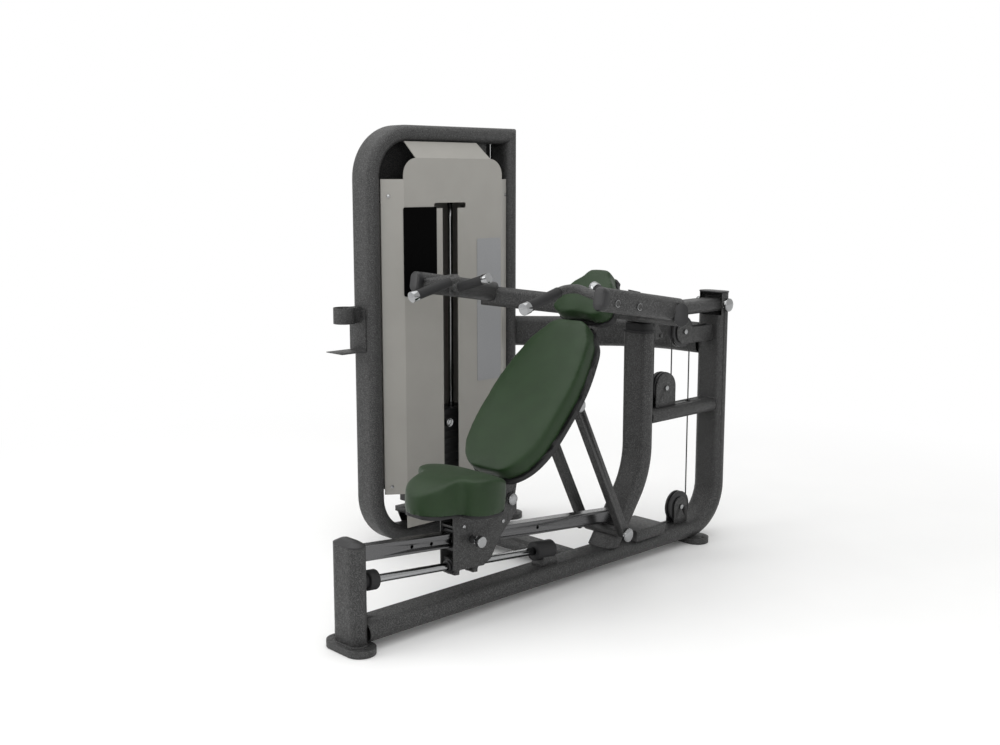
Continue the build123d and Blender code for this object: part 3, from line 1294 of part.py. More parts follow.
def yoke_core(width, depth):
    """Solid run of the yoke, for its tube and for the saddles of the pieces that meet it."""
    with BuildPart() as core:
        with BuildLine() as run:
            FilletPolyline(*YOKE_CORNERS, radius=YOKE_BEND_R)
        with BuildSketch(normal_to(run.line, (0, 0, 1))):
            SlotOverall(width, depth)
        sweep()
    return core


with BuildPart() as press_boom:
    with BuildSketch(front(BOOM_END)):
        with Locations((0, PIVOT_Z)):
            SlotOverall(LIGHT_W, LIGHT_T)
            SlotOverall(LIGHT_W - 2 * WALL, LIGHT_T - 2 * WALL, mode=Mode.SUBTRACT)
    extrude(amount=BOOM_END - BOOM_FRONT + ARM_T / 2)
    add(yoke_core(ARM_W, ARM_T).part, mode=Mode.SUBTRACT)
    with BuildSketch(front(BOOM_END)):
        with Locations((0, PIVOT_Z)):
            SlotOverall(LIGHT_W, LIGHT_T)
    extrude(amount=WALL)
    with BuildSketch(side(-HUB_L / 2)):
        with Locations((UPRIGHT_ALONG, PIVOT_Z)):
            Circle(HUB_R)
        with Locations((UPRIGHT_ALONG - HUB_R / 2, PIVOT_Z)):
            Rectangle(HUB_R, 2 * HUB_R - 10)
    extrude(amount=HUB_L)
    with BuildSketch(side(-HUB_L)):
        with Locations((UPRIGHT_ALONG, PIVOT_Z)):
            Circle(PIVOT_R + RUN)
    extrude(amount=2 * HUB_L, mode=Mode.SUBTRACT)
save(press_boom, "press_boom")

with BuildPart() as press_yoke:
    add(yoke_core(ARM_W, ARM_T).part)
    add(yoke_core(ARM_W - 2 * WALL, ARM_T - 2 * WALL).part, mode=Mode.SUBTRACT)
    # small bracket on its middle
    with BuildSketch(side(-4)):
        with BuildLine():
            Polyline(
                (BOOM_FRONT - 40, PIVOT_Z + 30), (BOOM_FRONT - 58, PIVOT_Z + 86),
                (BOOM_FRONT + 2, PIVOT_Z + 74), (BOOM_FRONT - 4, PIVOT_Z + 30), close=True,
            )
        make_face()
    extrude(amount=8)
    add(yoke_core(ARM_W - 2 * WALL, ARM_T - 2 * WALL).part, mode=Mode.SUBTRACT)
save(press_yoke, "press_yoke")

# the two arms with their bent and straight handle bars, all welded
ARM_DROP = (ARM_FRONT_Z - ARM_REAR_Z) / (ARM_REAR - ARM_FRONT)
ARM_END = 984.0
ARM_IN = ARM_ACROSS - ARM_T / 2
BAR_BEND_R = 40.0
BAR_FOOT = (ARM_IN + 6, 645.0, 1028.0)         # bent bar: foot, corner and tip
BAR_CORNER = (247.0, 678.0, 1055.0)
BAR_TIP = (258.0, 459.0, 998.6)
PEG_FOOT = (ARM_IN + 3, 761.0, 994.0)          # straight bar
PEG_TIP = (239.0, 786.0, 1044.7)


def flip(point, sign):
    """Point of one arm, on the near or the far side of the machine."""
    return spot(sign * point[0], point[1], point[2])


def toward(start, end, distance):
    """Point on a straight run, at a distance from its start."""
    share = distance / math.dist(start, end)
    return tuple(a + (b - a) * share for a, b in zip(start, end))


def round_run(start, end, radius, bore=0.0):
    """Round bar or sleeve between two points."""
    ray = Vector(*end) - Vector(*start)
    with BuildPart() as run:
        with BuildSketch(Plane(origin=start, z_dir=ray)):
            Circle(radius)
            if bore:
                Circle(bore, mode=Mode.SUBTRACT)
        extrude(amount=ray.length)
    return run


def arm_plane(along, sign):
    """Plane across one arm, facing along it towards the user."""
    return Plane(
        origin=spot(sign * ARM_ACROSS, along, ARM_FRONT_Z - ARM_DROP * (along - ARM_FRONT)),
        x_dir=(0, ARM_DROP, 1),
        z_dir=(0, -1, ARM_DROP),
    )


ARM_CAP_L = 28.0
CAP_ROUND = 6.0
with BuildPart() as arm_caps:
    for sign in (-1, 1):
        with BuildSketch(arm_plane(ARM_FRONT, sign)):
            SlotOverall(ARM_W, ARM_T)
        extrude(amount=ARM_CAP_L - CAP_ROUND)
        with BuildSketch(arm_plane(ARM_FRONT, sign).offset(ARM_CAP_L - CAP_ROUND)):
            SlotOverall(ARM_W, ARM_T)
        extrude(amount=CAP_ROUND, taper=35)
        with BuildSketch(Plane(
            origin=YOKE_CORNERS[1 + sign], x_dir=(0, 0, 1),
            z_dir=(sign * YOKE_END_ACROSS, YOKE_END_ALONG - YOKE_CORNER, YOKE_END_Z - PIVOT_Z),
        )):
            SlotOverall(ARM_W, ARM_T)
        extrude(amount=CAP_L)
save(arm_caps, "arm_caps")

with BuildPart() as press_arms:
    for sign in (-1, 1):
        with BuildSketch(arm_plane(ARM_END, sign)):
            SlotOverall(ARM_W, ARM_T)
            SlotOverall(ARM_W - 2 * WALL, ARM_T - 2 * WALL, mode=Mode.SUBTRACT)
        extrude(amount=(ARM_END - ARM_FRONT) * math.sqrt(1 + ARM_DROP ** 2))
        with BuildLine() as run:
            FilletPolyline(
                flip(BAR_FOOT, sign), flip(BAR_CORNER, sign),
                flip(toward(BAR_TIP, BAR_CORNER, TIP_L), sign),
                radius=BAR_BEND_R,
            )
        with BuildSketch(normal_to(run.line, (0, 0, 1))):
            Circle(BAR_R)
        sweep()
        add(round_run(flip(PEG_FOOT, sign), flip(toward(PEG_TIP, PEG_FOOT, TIP_L), sign), BAR_R).part)
        add(round_run(flip(toward(PEG_FOOT, PEG_TIP, 6), sign),
                      flip(toward(PEG_FOOT, PEG_TIP, 14), sign), 24).part)
    add(yoke_core(ARM_W, ARM_T).part, mode=Mode.SUBTRACT)
    add(arm_caps.part, mode=Mode.SUBTRACT)
save(press_arms, "press_arms")

with BuildPart() as handle_grips:
    for sign in (-1, 1):
        for tip, root, length in ((BAR_TIP, BAR_CORNER, 140), (PEG_TIP, PEG_FOOT, 112)):
            add(round_run(
                flip(toward(tip, root, TIP_L + FIT), sign),
                flip(toward(tip, root, TIP_L + length), sign),
                GRIP_R, BAR_R + FIT,
            ).part)
save(handle_grips, "handle_grips")

with BuildPart() as handle_tips:
    for sign in (-1, 1):
        for tip, root in ((BAR_TIP, BAR_CORNER), (PEG_TIP, PEG_FOOT)):
            add(round_run(flip(toward(tip, root, TIP_L), sign), flip(tip, sign), TIP_R).part)
        # two bolts on the outer side of each arm
        for along, z in ((664, 1016), (765, 999)):
            face = sign * (ARM_ACROSS + ARM_T / 2)
            add(round_run(spot(face, along, z), spot(face + 5 * sign, along, z), 11).part)
save(handle_tips, "handle_tips")

# lug, link and socket that hang the cable from the boom
with BuildPart() as cable_anchor:
    with BuildSketch(side(-6)):
        with BuildLine():
            Polyline(
                (FRONT_RUN - 20, PIVOT_Z - LIGHT_T / 2), (FRONT_RUN + 16, PIVOT_Z - LIGHT_T / 2),
                (FRONT_RUN + 16, 852), (FRONT_RUN + 42, 818), (FRONT_RUN + 32, ANCHOR_Z),
                (FRONT_RUN - 10, ANCHOR_Z), (FRONT_RUN - 20, 848), close=True,
            )
        make_face()
    extrude(amount=12)
    with BuildSketch(level(ANCHOR_Z)):
        with Locations((0, FRONT_RUN)):
            Circle(9)
    extrude(amount=32)
    for along, z in ((1382, 856), (1419, 812)):
        with BuildSketch(side(-12)):
            with Locations((along, z)):
                Circle(8)
        extrude(amount=24)
save(cable_anchor, "cable_anchor")

# ======================= bottle holder on the tower ======================================
HOLDER_ACROSS = -758.0
HOLDER_FACE = TOWER_FRONT - TUBE_T / 2
HOLDER_SHEET = 3.0
HOLDER_W = 96.0
HOLDER_Z = 756.0          # shelf
HOLDER_TOP = 908.0
RING_R = 39.5
RING_ALONG = HOLDER_FACE - 62.0
RING_Z = 862.0
RING_H = 58.0
with BuildPart() as bottle_holder:
    with BuildSketch(front(HOLDER_FACE)):
        with Locations((HOLDER_ACROSS, (HOLDER_Z + HOLDER_TOP) / 2)):
            RectangleRounded(HOLDER_W, HOLDER_TOP - HOLDER_Z, 6)
    extrude(amount=HOLDER_SHEET)
    with BuildSketch(level(HOLDER_Z)):
        with Locations((HOLDER_ACROSS, HOLDER_FACE - 55)):
            Rectangle(HOLDER_W, 110)
    extrude(amount=HOLDER_SHEET)
    with BuildSketch(level(RING_Z)):
        with Locations((HOLDER_ACROSS, RING_ALONG)):
            Circle(RING_R)
        with Locations((HOLDER_ACROSS, (RING_ALONG + HOLDER_FACE) / 2)):
            Rectangle(34, HOLDER_FACE - RING_ALONG)
        with Locations((HOLDER_ACROSS, RING_ALONG)):
            Circle(RING_R - HOLDER_SHEET, mode=Mode.SUBTRACT)
    extrude(amount=RING_H)
save(bottle_holder, "bottle_holder")
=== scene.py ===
import json
import math

import bmesh
import bpy
import numpy
from mathutils import Matrix, Vector


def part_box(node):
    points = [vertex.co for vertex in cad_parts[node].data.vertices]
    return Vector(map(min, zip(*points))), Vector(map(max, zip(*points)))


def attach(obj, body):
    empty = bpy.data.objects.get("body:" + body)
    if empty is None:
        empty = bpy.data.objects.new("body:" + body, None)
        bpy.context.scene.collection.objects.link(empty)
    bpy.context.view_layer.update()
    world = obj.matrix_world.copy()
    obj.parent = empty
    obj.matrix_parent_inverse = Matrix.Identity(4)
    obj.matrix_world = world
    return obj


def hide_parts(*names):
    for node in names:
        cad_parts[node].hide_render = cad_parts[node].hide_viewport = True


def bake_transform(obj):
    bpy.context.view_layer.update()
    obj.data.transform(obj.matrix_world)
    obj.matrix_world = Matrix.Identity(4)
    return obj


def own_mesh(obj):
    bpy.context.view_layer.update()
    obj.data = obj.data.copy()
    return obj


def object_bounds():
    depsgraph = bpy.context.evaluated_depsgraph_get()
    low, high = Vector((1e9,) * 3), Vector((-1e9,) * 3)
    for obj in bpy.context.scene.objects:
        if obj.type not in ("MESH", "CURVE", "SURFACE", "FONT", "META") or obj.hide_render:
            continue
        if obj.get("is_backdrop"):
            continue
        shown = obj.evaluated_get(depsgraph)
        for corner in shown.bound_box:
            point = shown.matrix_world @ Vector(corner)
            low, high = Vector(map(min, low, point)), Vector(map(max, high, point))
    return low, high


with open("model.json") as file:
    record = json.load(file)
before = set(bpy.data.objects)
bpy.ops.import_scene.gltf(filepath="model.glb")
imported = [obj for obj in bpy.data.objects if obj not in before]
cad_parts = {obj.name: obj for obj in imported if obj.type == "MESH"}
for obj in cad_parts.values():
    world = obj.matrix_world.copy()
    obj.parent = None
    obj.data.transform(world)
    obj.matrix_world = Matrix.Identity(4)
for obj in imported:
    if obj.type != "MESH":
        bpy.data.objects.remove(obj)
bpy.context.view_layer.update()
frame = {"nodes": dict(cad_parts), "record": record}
nodes = frame["nodes"]


# ---- Painted steel tubes ----------------------------------------------------------------
# Floor tube, posts, tower hoop, boom and arms are flat-oval and round steel tube, welded,
# blasted and coated with textured dark grey powder, which melts into a pebbled skin.
def linear(code):
    """Colour from an sRGB hex code, for a shader socket."""
    parts = [int(code[i:i + 2], 16) / 255 for i in (1, 3, 5)]
    return [c / 12.92 if c <= 0.04045 else ((c + 0.055) / 1.055) ** 2.4 for c in parts] + [1.0]


def add_node(tree, kind, settings=None, links=None, **modes):
    """Adds a shader node, with its modes, its sockets' values and what feeds it."""
    added = tree.nodes.new(kind)
    for mode, value in modes.items():
        setattr(added, mode, value)
    for socket, value in (settings or {}).items():
        added.inputs[socket].default_value = value
    for socket, source in (links or {}).items():
        tree.links.new(source, added.inputs[socket])
    return added


def surface(name, roughness, metallic=0.0, specular=0.5):
    """New material with its constants on the shader."""
    material = bpy.data.materials.new(name)
    material.use_nodes = True
    shader = material.node_tree.nodes["Principled BSDF"]
    shader.inputs["Roughness"].default_value = roughness
    shader.inputs["Metallic"].default_value = metallic
    shader.inputs["Specular IOR Level"].default_value = specular
    return material


def grain(material, pitch, detail=2.0, stretch=(1, 1, 1), colours=(), roughness=(), relief=()):
    """Lays a grain over a material, pitch millimetres from bump to bump.

    It runs through the colours, given as (place, hex), moves the roughness between two
    values, and raises a relief of (depth in millimetres, strength) on any coarser one.
    """
    tree = material.node_tree
    shader = tree.nodes["Principled BSDF"]
    spot = add_node(tree, "ShaderNodeTexCoord")
    drawn = add_node(
        tree, "ShaderNodeMapping", {"Scale": stretch}, {"Vector": spot.outputs["Object"]}
    )
    speckle = add_node(
        tree, "ShaderNodeTexNoise", {"Scale": 1000 / pitch, "Detail": detail},
        {"Vector": drawn.outputs["Vector"]},
    ).outputs["Fac"]
    if colours:
        ramp = add_node(tree, "ShaderNodeValToRGB", links={"Fac": speckle})
        stops = ramp.color_ramp.elements
        while len(stops) < len(colours):
            stops.new(0.5)
        for stop, (place, code) in zip(stops, colours):
            stop.position = place
            stop.color = linear(code)
        tree.links.new(ramp.outputs["Color"], shader.inputs["Base Color"])
    if roughness:
        low, high = roughness
        spread = add_node(
            tree, "ShaderNodeMapRange",
            {"From Min": 0.3, "From Max": 0.7, "To Min": low, "To Max": high},
            {"Value": speckle},
        )
        tree.links.new(spread.outputs["Result"], shader.inputs["Roughness"])
    if relief:
        depth, strength = relief
        raised = add_node(
            tree, "ShaderNodeBump", {"Distance": depth / 1000, "Strength": strength},
            {"Height": speckle},
        )
        coarser = shader.inputs["Normal"].links
        if coarser:
            tree.links.new(coarser[0].from_socket, raised.inputs["Normal"])
        tree.links.new(raised.outputs["Normal"], shader.inputs["Normal"])


# Polyester powder, sprayed and baked: matt dark grey, with a painted highlight as a pale tip on
# each pebble. They are about a millimetre apart, and drawn 2.6 mm apart so that they show.
powder = surface("textured polyester powder coat", 0.5, specular=0.42)
grain(powder, 11, detail=4.0, roughness=(0.4, 0.6), relief=(0.9, 0.4))
# This grain's pale colour stop is a painted highlight on the pebble tips, where its relief peaks.
grain(
    powder, 2.6, detail=3.0, relief=(0.8, 0.9),
    colours=[(0.36, "#1D1D1D"), (0.5, "#2C2C2C"), (0.68, "#565656")],
)


def paint(name, material):
    """Gives a solid its material, with its edges as they are."""
    piece = nodes[name]
    piece.data.materials.clear()
    piece.data.materials.append(material)
    return piece


def finish_piece(name, material, edge=0.8):
    """Gives a solid its material and edges broken by so many millimetres, or by none."""
    piece = paint(name, material)
    weld = piece.modifiers.new("weld", "WELD")
    weld.merge_threshold = 0.00002
    if edge:
        bevel = piece.modifiers.new("edge", "BEVEL")
        bevel.width = edge / 1000
        bevel.segments = 2
        bevel.limit_method = "ANGLE"
        bevel.angle_limit = math.radians(38)
        bevel.harden_normals = True
        piece.data.shade_smooth()


for name in (
    "base_frame", "front_post", "mid_upright", "upright_brace", "cross_tube", "floor_link",
    "tower_hoop", "tower_rear_leg", "strut_pivot_tube", "struts", "backrest_frame",
    "press_boom", "press_yoke", "press_arms",
):
    finish_piece(name, powder)

# ---- Plates, feet and brackets ----------------------------------------------------------
# Foot plates, the seat carriage, pulley cheeks and brackets are cut and folded from thick
# sheet steel, bolted or welded to the tubes and coated with the same powder.
PLATE_EDGE = 1.2
for name in (
    "floor_feet", "seat_carriage", "rod_block_bracket", "pulley_brackets", "shroud_brackets",
    "stack_carrier", "cable_box", "bottle_holder", "cable_anchor",
):
    finish_piece(name, powder, PLATE_EDGE)

# ---- Shrouds ----------------------------------------------------------------------------
# Covers folded from sheet steel, screwed in front of and behind the weight stack.
# Wet-sprayed enamel: warm light grey, satin, with a fine orange peel near the lamps. The peel
# is drawn 1.6 mm from bump to bump.
enamel = surface("sprayed warm grey enamel", 0.42, specular=0.45)
grain(enamel, 90, colours=[(0.3, "#93918C"), (0.7, "#96948F")])
grain(enamel, 1.6, roughness=(0.38, 0.48), relief=(0.12, 0.5))
for name in ("front_shroud", "rear_shroud"):
    paint(name, enamel)

# ---- Window and placard -----------------------------------------------------------------
# A black panel let into the front shroud, and beside the selector slot a long placard, left
# bare. Both are flat sheets glued on.
# Cast acrylic: nearly black, with a soft reflection that is a little cloudy from wiping.
acrylic = surface("black cast acrylic", 0.3, specular=0.02)
acrylic.node_tree.nodes["Principled BSDF"].inputs["Base Color"].default_value = linear("#040404")
grain(acrylic, 30, roughness=(0.26, 0.34))
paint("window_panel", acrylic)
# Matt polyester film: an even pale grey with a trace of fibre.
film = surface("matt polyester film", 0.55, specular=0.35)
grain(film, 4, colours=[(0.3, "#8B8C8E"), (0.7, "#939496")], relief=(0.05, 0.4))
paint("guide_placard", film)

# ---- Bright steel -----------------------------------------------------------------------
# Guide rods, bolts, selector and pull pins and the handles' end pieces are turned steel,
# ground round, polished and plated.
# Hard chrome: a dark mirror with hair-fine wiping marks round it. They are drawn 1.2 mm long
# and 0.2 mm apart, coarser than they are.
chrome = surface("polished hard chrome", 0.12, metallic=1.0)
grain(
    chrome, 1.2, detail=3.0, stretch=(1, 1, 6), roughness=(0.08, 0.2),
    colours=[(0.35, "#8E8F90"), (0.7, "#A9AAAB")],
)
TURNED_EDGE = 1.4
KNOB_EDGE = 2.0
for name in (
    "guide_rods", "guide_rod", "frame_bolts", "pivot_bolts", "strut_top_bolt",
    "carriage_fittings", "handle_tips", "selector_stem",
):
    finish_piece(name, chrome, TURNED_EDGE)
for name in ("selector_pin", "pull_pin"):
    finish_piece(name, chrome, KNOB_EDGE)

# ---- Seat rail --------------------------------------------------------------------------
# Rectangular stainless tube, drilled for the pull pin and welded between front post and
# middle upright, with a ground face for the carriage to slide on.
# Ground stainless: a darker sheen, a little streaky. The grinding lines run along the rail,
# less than a tenth of a millimetre apart.
stainless = surface("ground stainless steel", 0.26, metallic=1.0)
grain(
    stainless, 0.7, detail=4.0, stretch=(9, 0.3, 9), roughness=(0.18, 0.34), relief=(0.08, 0.4),
    colours=[(0.3, "#575758"), (0.7, "#6B6B6C")],
)
finish_piece("seat_rail", stainless, 0.5)

# ---- Weight plates ----------------------------------------------------------------------
# Cast iron slabs, machined on their faces, dipped in black enamel and stacked on the guide
# rods.
# Dipped enamel on iron: black with a dull shine, pitted every 3 mm or so by the sand mould.
iron = surface("enamelled cast iron", 0.45)
grain(
    iron, 3, detail=4.0, roughness=(0.35, 0.6), relief=(0.4, 0.6),
    colours=[(0.3, "#131314"), (0.7, "#202021")],
)
CAST_EDGE = 1.8
for name in ("weight_stack", "lifted_plates"):
    finish_piece(name, iron, CAST_EDGE)

# ---- Moulded black parts ----------------------------------------------------------------
# End caps are pressed into the tubes, glide blocks sit in the carriage, and pulleys turn on
# their bolts. All are injection moulded.
# Moulded nylon: black and slightly waxy, with the spark-eroded grain of its mould. The grain
# is drawn 0.9 mm apart.
nylon = surface("moulded black nylon", 0.42, specular=0.45)
grain(nylon, 0.9, colours=[(0.3, "#161617"), (0.7, "#222224")], relief=(0.12, 0.6))
MOULDED_EDGE = 1.6
for name in (
    "tube_caps", "arm_caps", "carriage_glides", "base_pulley", "brace_pulley",
    "top_pulley", "front_tower_pulley", "rear_tower_pulley",
):
    finish_piece(name, nylon, MOULDED_EDGE)

# ---- Rubber stops and grips -------------------------------------------------------------
# The boom rests on a rubber block, two rings stop the carriage on its rod, and the handles
# have thick sleeves pushed on with soapy water.
# Moulded rubber: duller and greyer than the nylon, with dust in its pores, drawn 1.5 mm apart.
rubber = surface("moulded black rubber", 0.68, specular=0.35)
grain(rubber, 1.5, detail=3.0, colours=[(0.3, "#1A1A1B"), (0.75, "#29292A")], relief=(0.2, 0.6))
RUBBER_EDGE = 2.5
for name in ("boom_rest", "rubber_bumpers", "handle_grips"):
    finish_piece(name, rubber, RUBBER_EDGE)

# ---- Cables -----------------------------------------------------------------------------
# Steel rope in a nylon jacket, held taut over the pulleys by the stack's weight. As the arm is
# pushed up, the run to it grows longer and the run over the stack grows shorter.
# Extruded nylon jacket: smooth black, with the rope's lay, 2 mm from strand to strand, showing
# through faintly.
jacket = surface("extruded black nylon jacket", 0.35)
grain(jacket, 2, colours=[(0.3, "#101011"), (0.7, "#1C1C1D")], relief=(0.1, 0.5))
for name in ("lift_cable", "return_cable", "arm_cable", "stack_cable"):
    finish_piece(name, jacket, edge=0)


def place_new(name, data):
    """Puts a new object in the scene."""
    piece = bpy.data.objects.new(name, data)
    bpy.context.scene.collection.objects.link(piece)
    return piece


def ring(x, y, z, radius, count):
    """Points round a level circle."""
    turns = [2 * math.pi * k / count for k in range(count)]
    return [(x + radius * math.cos(turn), y + radius * math.sin(turn), z) for turn in turns]


def turned_piece(name, rings, material, crown=None):
    """Closed piece through rings of points, flat at its ends or rising to a crown."""
    form = bmesh.new()
    rows = [[form.verts.new(point) for point in points] for points in rings]
    for lower, upper in zip(rows, rows[1:]):
        for corners in zip(lower, lower[1:] + lower[:1], upper[1:] + upper[:1], upper):
            form.faces.new(corners)
    form.faces.new(reversed(rows[0]))
    last = rows[-1]
    if crown:
        tip = form.verts.new(crown)
        for side in zip(last, last[1:] + last[:1]):
            form.faces.new((*side, tip))
    else:
        form.faces.new(last)
    mesh = bpy.data.meshes.new(name)
    form.to_mesh(mesh)
    form.free()
    mesh.shade_smooth()
    mesh.materials.append(material)
    return place_new(name, mesh)


def straight_cable(name, cad_node, steps):
    """Jacketed cable in place of an upright run, in evenly spaced rings."""
    low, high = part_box(cad_node)
    middle = (low + high) / 2
    radius = (high.x - low.x) / 2
    heights = [low.z + (high.z - low.z) * step / steps for step in range(steps + 1)]
    rings = [ring(middle.x, middle.y, z, radius, count=16) for z in heights]
    piece = turned_piece(name, rings, jacket)
    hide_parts(cad_node)
    return piece, low, high


arm_run, low, high = straight_cable("press_arm_cable", "arm_cable", steps=24)
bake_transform(arm_run)
stack_run, low, high = straight_cable("stack_rope", "stack_cable", steps=4)
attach(stack_run, "frame")
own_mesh(stack_run)

# ---- Cushions ---------------------------------------------------------------------------
# Seat, back and head pads are moulded foam wrapped in dark green vinyl, pulled tight round
# the edges and stapled under a black board. The cloth is blown out a little from a smaller
# form, so the faces crown and the edges stay soft.
# Calendered vinyl: dark green, softly shining, embossed with a leather grain that is drawn
# 1.6 mm apart, and a shade lighter where it is sat on.
vinyl = surface("embossed dark green vinyl", 0.46, specular=0.28)
grain(vinyl, 1.6, detail=3.0, roughness=(0.42, 0.54), relief=(0.14, 0.55))
grain(vinyl, 60, colours=[(0.3, "#172C12"), (0.7, "#1B3116")])
shader = vinyl.node_tree.nodes["Principled BSDF"]
shader.inputs["Sheen Weight"].default_value = 0.03
shader.inputs["Sheen Roughness"].default_value = 0.5

FOAM_CELL = 0.0055        # mesh size of the cloth
SWELL_MOST = 0.007        # farthest that the vinyl bulges
UNDERSIDE = 0.006         # depth of the pad that lies flat on its board
SETTLE_FRAMES = 20
SPREAD_STEPS = 60


def keep_shape(piece):
    """Turns the modifiers of a piece into its own mesh."""
    bpy.context.view_layer.update()
    graph = bpy.context.evaluated_depsgraph_get()
    mesh = bpy.data.meshes.new_from_object(piece.evaluated_get(graph))
    piece.modifiers.clear()
    piece.data = mesh


def small_form(name, cad_node, start_inset, round_steps):
    """Even mesh of a pad's solid, with rounded edges and a little too small."""
    seed = place_new(name, nodes[cad_node].data.copy())
    merge = seed.modifiers.new("merge", "WELD")
    merge.merge_threshold = 0.00002
    fine = seed.modifiers.new("fine", "REMESH")
    fine.mode = "VOXEL"
    fine.voxel_size = FOAM_CELL
    fine.adaptivity = 0.0
    soften = seed.modifiers.new("soften", "SMOOTH")
    soften.factor = 0.5
    soften.iterations = round_steps
    shrink = seed.modifiers.new("shrink", "DISPLACE")
    shrink.strength = -start_inset
    shrink.mid_level = 0.0
    keep_shape(seed)
    return seed


def blow_out(seed):
    """Lets pressure under the cloth settle."""
    cloth = seed.modifiers.new("cloth", "CLOTH")
    cloth.settings.quality = 5
    cloth.settings.mass = 0.3
    cloth.settings.tension_stiffness = 25
    cloth.settings.compression_stiffness = 25
    cloth.settings.shear_stiffness = 8
    cloth.settings.bending_stiffness = 4
    cloth.settings.use_pressure = True
    cloth.settings.uniform_pressure_force = 4
    cloth.settings.effector_weights.gravity = 0
    cloth.point_cache.frame_start = 1
    cloth.point_cache.frame_end = SETTLE_FRAMES
    for step in range(1, SETTLE_FRAMES + 1):
        bpy.context.scene.frame_set(step)
    keep_shape(seed)
    bpy.context.scene.frame_set(1)


def even_swelling(seed, before):
    """How far each point moved, capped and spread smoothly from face to edge as foam does."""
    moves = numpy.array([vertex.co - start for vertex, start in zip(seed.data.vertices, before)])
    length = numpy.linalg.norm(moves, axis=1, keepdims=True)
    moves *= numpy.minimum(1.0, SWELL_MOST / numpy.maximum(length, 1e-9))
    ends = numpy.array([edge.vertices[:] for edge in seed.data.edges])
    shares = numpy.bincount(ends.ravel(), minlength=len(before))[:, None]
    for step in range(SPREAD_STEPS):
        around = numpy.zeros_like(moves)
        numpy.add.at(around, ends[:, 0], moves[ends[:, 1]])
        numpy.add.at(around, ends[:, 1], moves[ends[:, 0]])
        moves = (moves + around / shares) / 2
    return moves


def cushion(name, cad_node, facing, start_inset, round_steps):
    """Foam pad blown up from a smaller copy of its solid; facing points out of its face."""
    facing = Vector(facing).normalized()
    seed = small_form(name, cad_node, start_inset, round_steps)
    before = [v.co.copy() for v in seed.data.vertices]
    blow_out(seed)
    moves = even_swelling(seed, before)
    low = min(facing.dot(v) for v in before)
    for vertex, start, move in zip(seed.data.vertices, before, moves):
        place = start + Vector(move)
        if facing.dot(start) - low < UNDERSIDE:
            place -= facing * (facing.dot(place) - (low - start_inset))
        vertex.co = place
    seed.data.materials.clear()
    seed.data.materials.append(vinyl)
    seed.data.shade_smooth()
    smooth = seed.modifiers.new("subdivide", "SUBSURF")
    smooth.levels = smooth.render_levels = 1
    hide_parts(cad_node)
    return seed


SEAT_FALL = math.radians(3.0)       # slope of the seat, down to the rear
BACK_RISE = math.radians(48.2)      # slope of the back, up to the rear
seat_facing = (0, math.sin(SEAT_FALL), math.cos(SEAT_FALL))
back_facing = (0, -math.sin(BACK_RISE), math.cos(BACK_RISE))
seat_pad = cushion("seat_pad", "seat_cushion", seat_facing, start_inset=0.002, round_steps=40)
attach(seat_pad, "carriage")
back_pad = cushion("back_pad", "back_cushion", back_facing, start_inset=0.001, round_steps=32)
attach(back_pad, "backrest")
head_pad = cushion("head_pad", "head_cushion", back_facing, start_inset=0.001, round_steps=32)
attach(head_pad, "backrest")

# ---- Boards -----------------------------------------------------------------------------
# Plywood boards under the seat and behind the pads, bolted to the carriage and the
# backrest's beam, in vacuum-formed covers.
# Textured ABS sheet: black and dry, with a leather grain drawn 1.8 mm apart.
cover = surface("vacuum-formed black ABS", 0.55, specular=0.35)
grain(cover, 1.8, detail=3.0, colours=[(0.3, "#161617"), (0.7, "#242425")], relief=(0.25, 0.6))
BOARD_EDGE = 4.0
for name in ("seat_board", "back_boards"):
    finish_piece(name, cover, BOARD_EDGE)

# ---- Domed caps -------------------------------------------------------------------------
# Every pivot is closed on both sides by a pressed steel dome pushed over its bolt: chromed
# on the pivots, and coated with the frame on the two bolts of each arm.
post = next(Vector(m["pos_m"]) for m in frame["record"]["mounts"] if m["name"] == "front_foot_bolts")


def at(across, along, up):
    """Place on the machine, in millimetres from the foot of the front post."""
    return post + Vector((across, along, up)) / 1000


CAP_ROWS = 8


def dome(name, centre, sign, radius, height, body, material):
    """Cap that bulges out of one side of the machine, sized in millimetres."""
    radius, height = radius / 1000, height / 1000
    turns = [math.pi / 2 * row / CAP_ROWS for row in range(CAP_ROWS)]
    rings = [
        ring(0, 0, height * math.sin(turn), radius * math.cos(turn), count=40) for turn in turns
    ]
    piece = turned_piece(name, rings, material, crown=(0, 0, height))
    outward = Vector((sign, 0, 0)).to_track_quat("Z", "Y")
    piece.matrix_world = Matrix.Translation(centre) @ outward.to_matrix().to_4x4()
    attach(piece, body)


# reach from the middle of the machine, place along and up, radius, height, what carries it
PIVOT_CAPS = {
    "main_pivot": (72.3, 1746, 906, 23.5, 6, "frame"),
    "strut_foot": (118, 1125, 141, 22.5, 6, "frame"),
    "strut_top": (116.6, 872, 637, 19.5, 6, "backrest"),
    "backrest_hinge": (40.3, 633, 348, 16.5, 4, "carriage"),
}
ARM_REACH = 449
ARM_BOLTS = ((664, 1016), (765, 999))
for side, sign in (("near", 1), ("far", -1)):
    for pivot, (reach, along, up, radius, height, body) in PIVOT_CAPS.items():
        place = at(reach * sign, along, up)
        dome(f"{pivot}_cap_{side}", place, sign, radius, height, body, chrome)
    for number, (along, up) in enumerate(ARM_BOLTS):
        place = at(ARM_REACH * sign, along, up)
        dome(f"arm_bolt_cap_{side}_{number}", place, sign, 9.5, 4, "press_arm", powder)


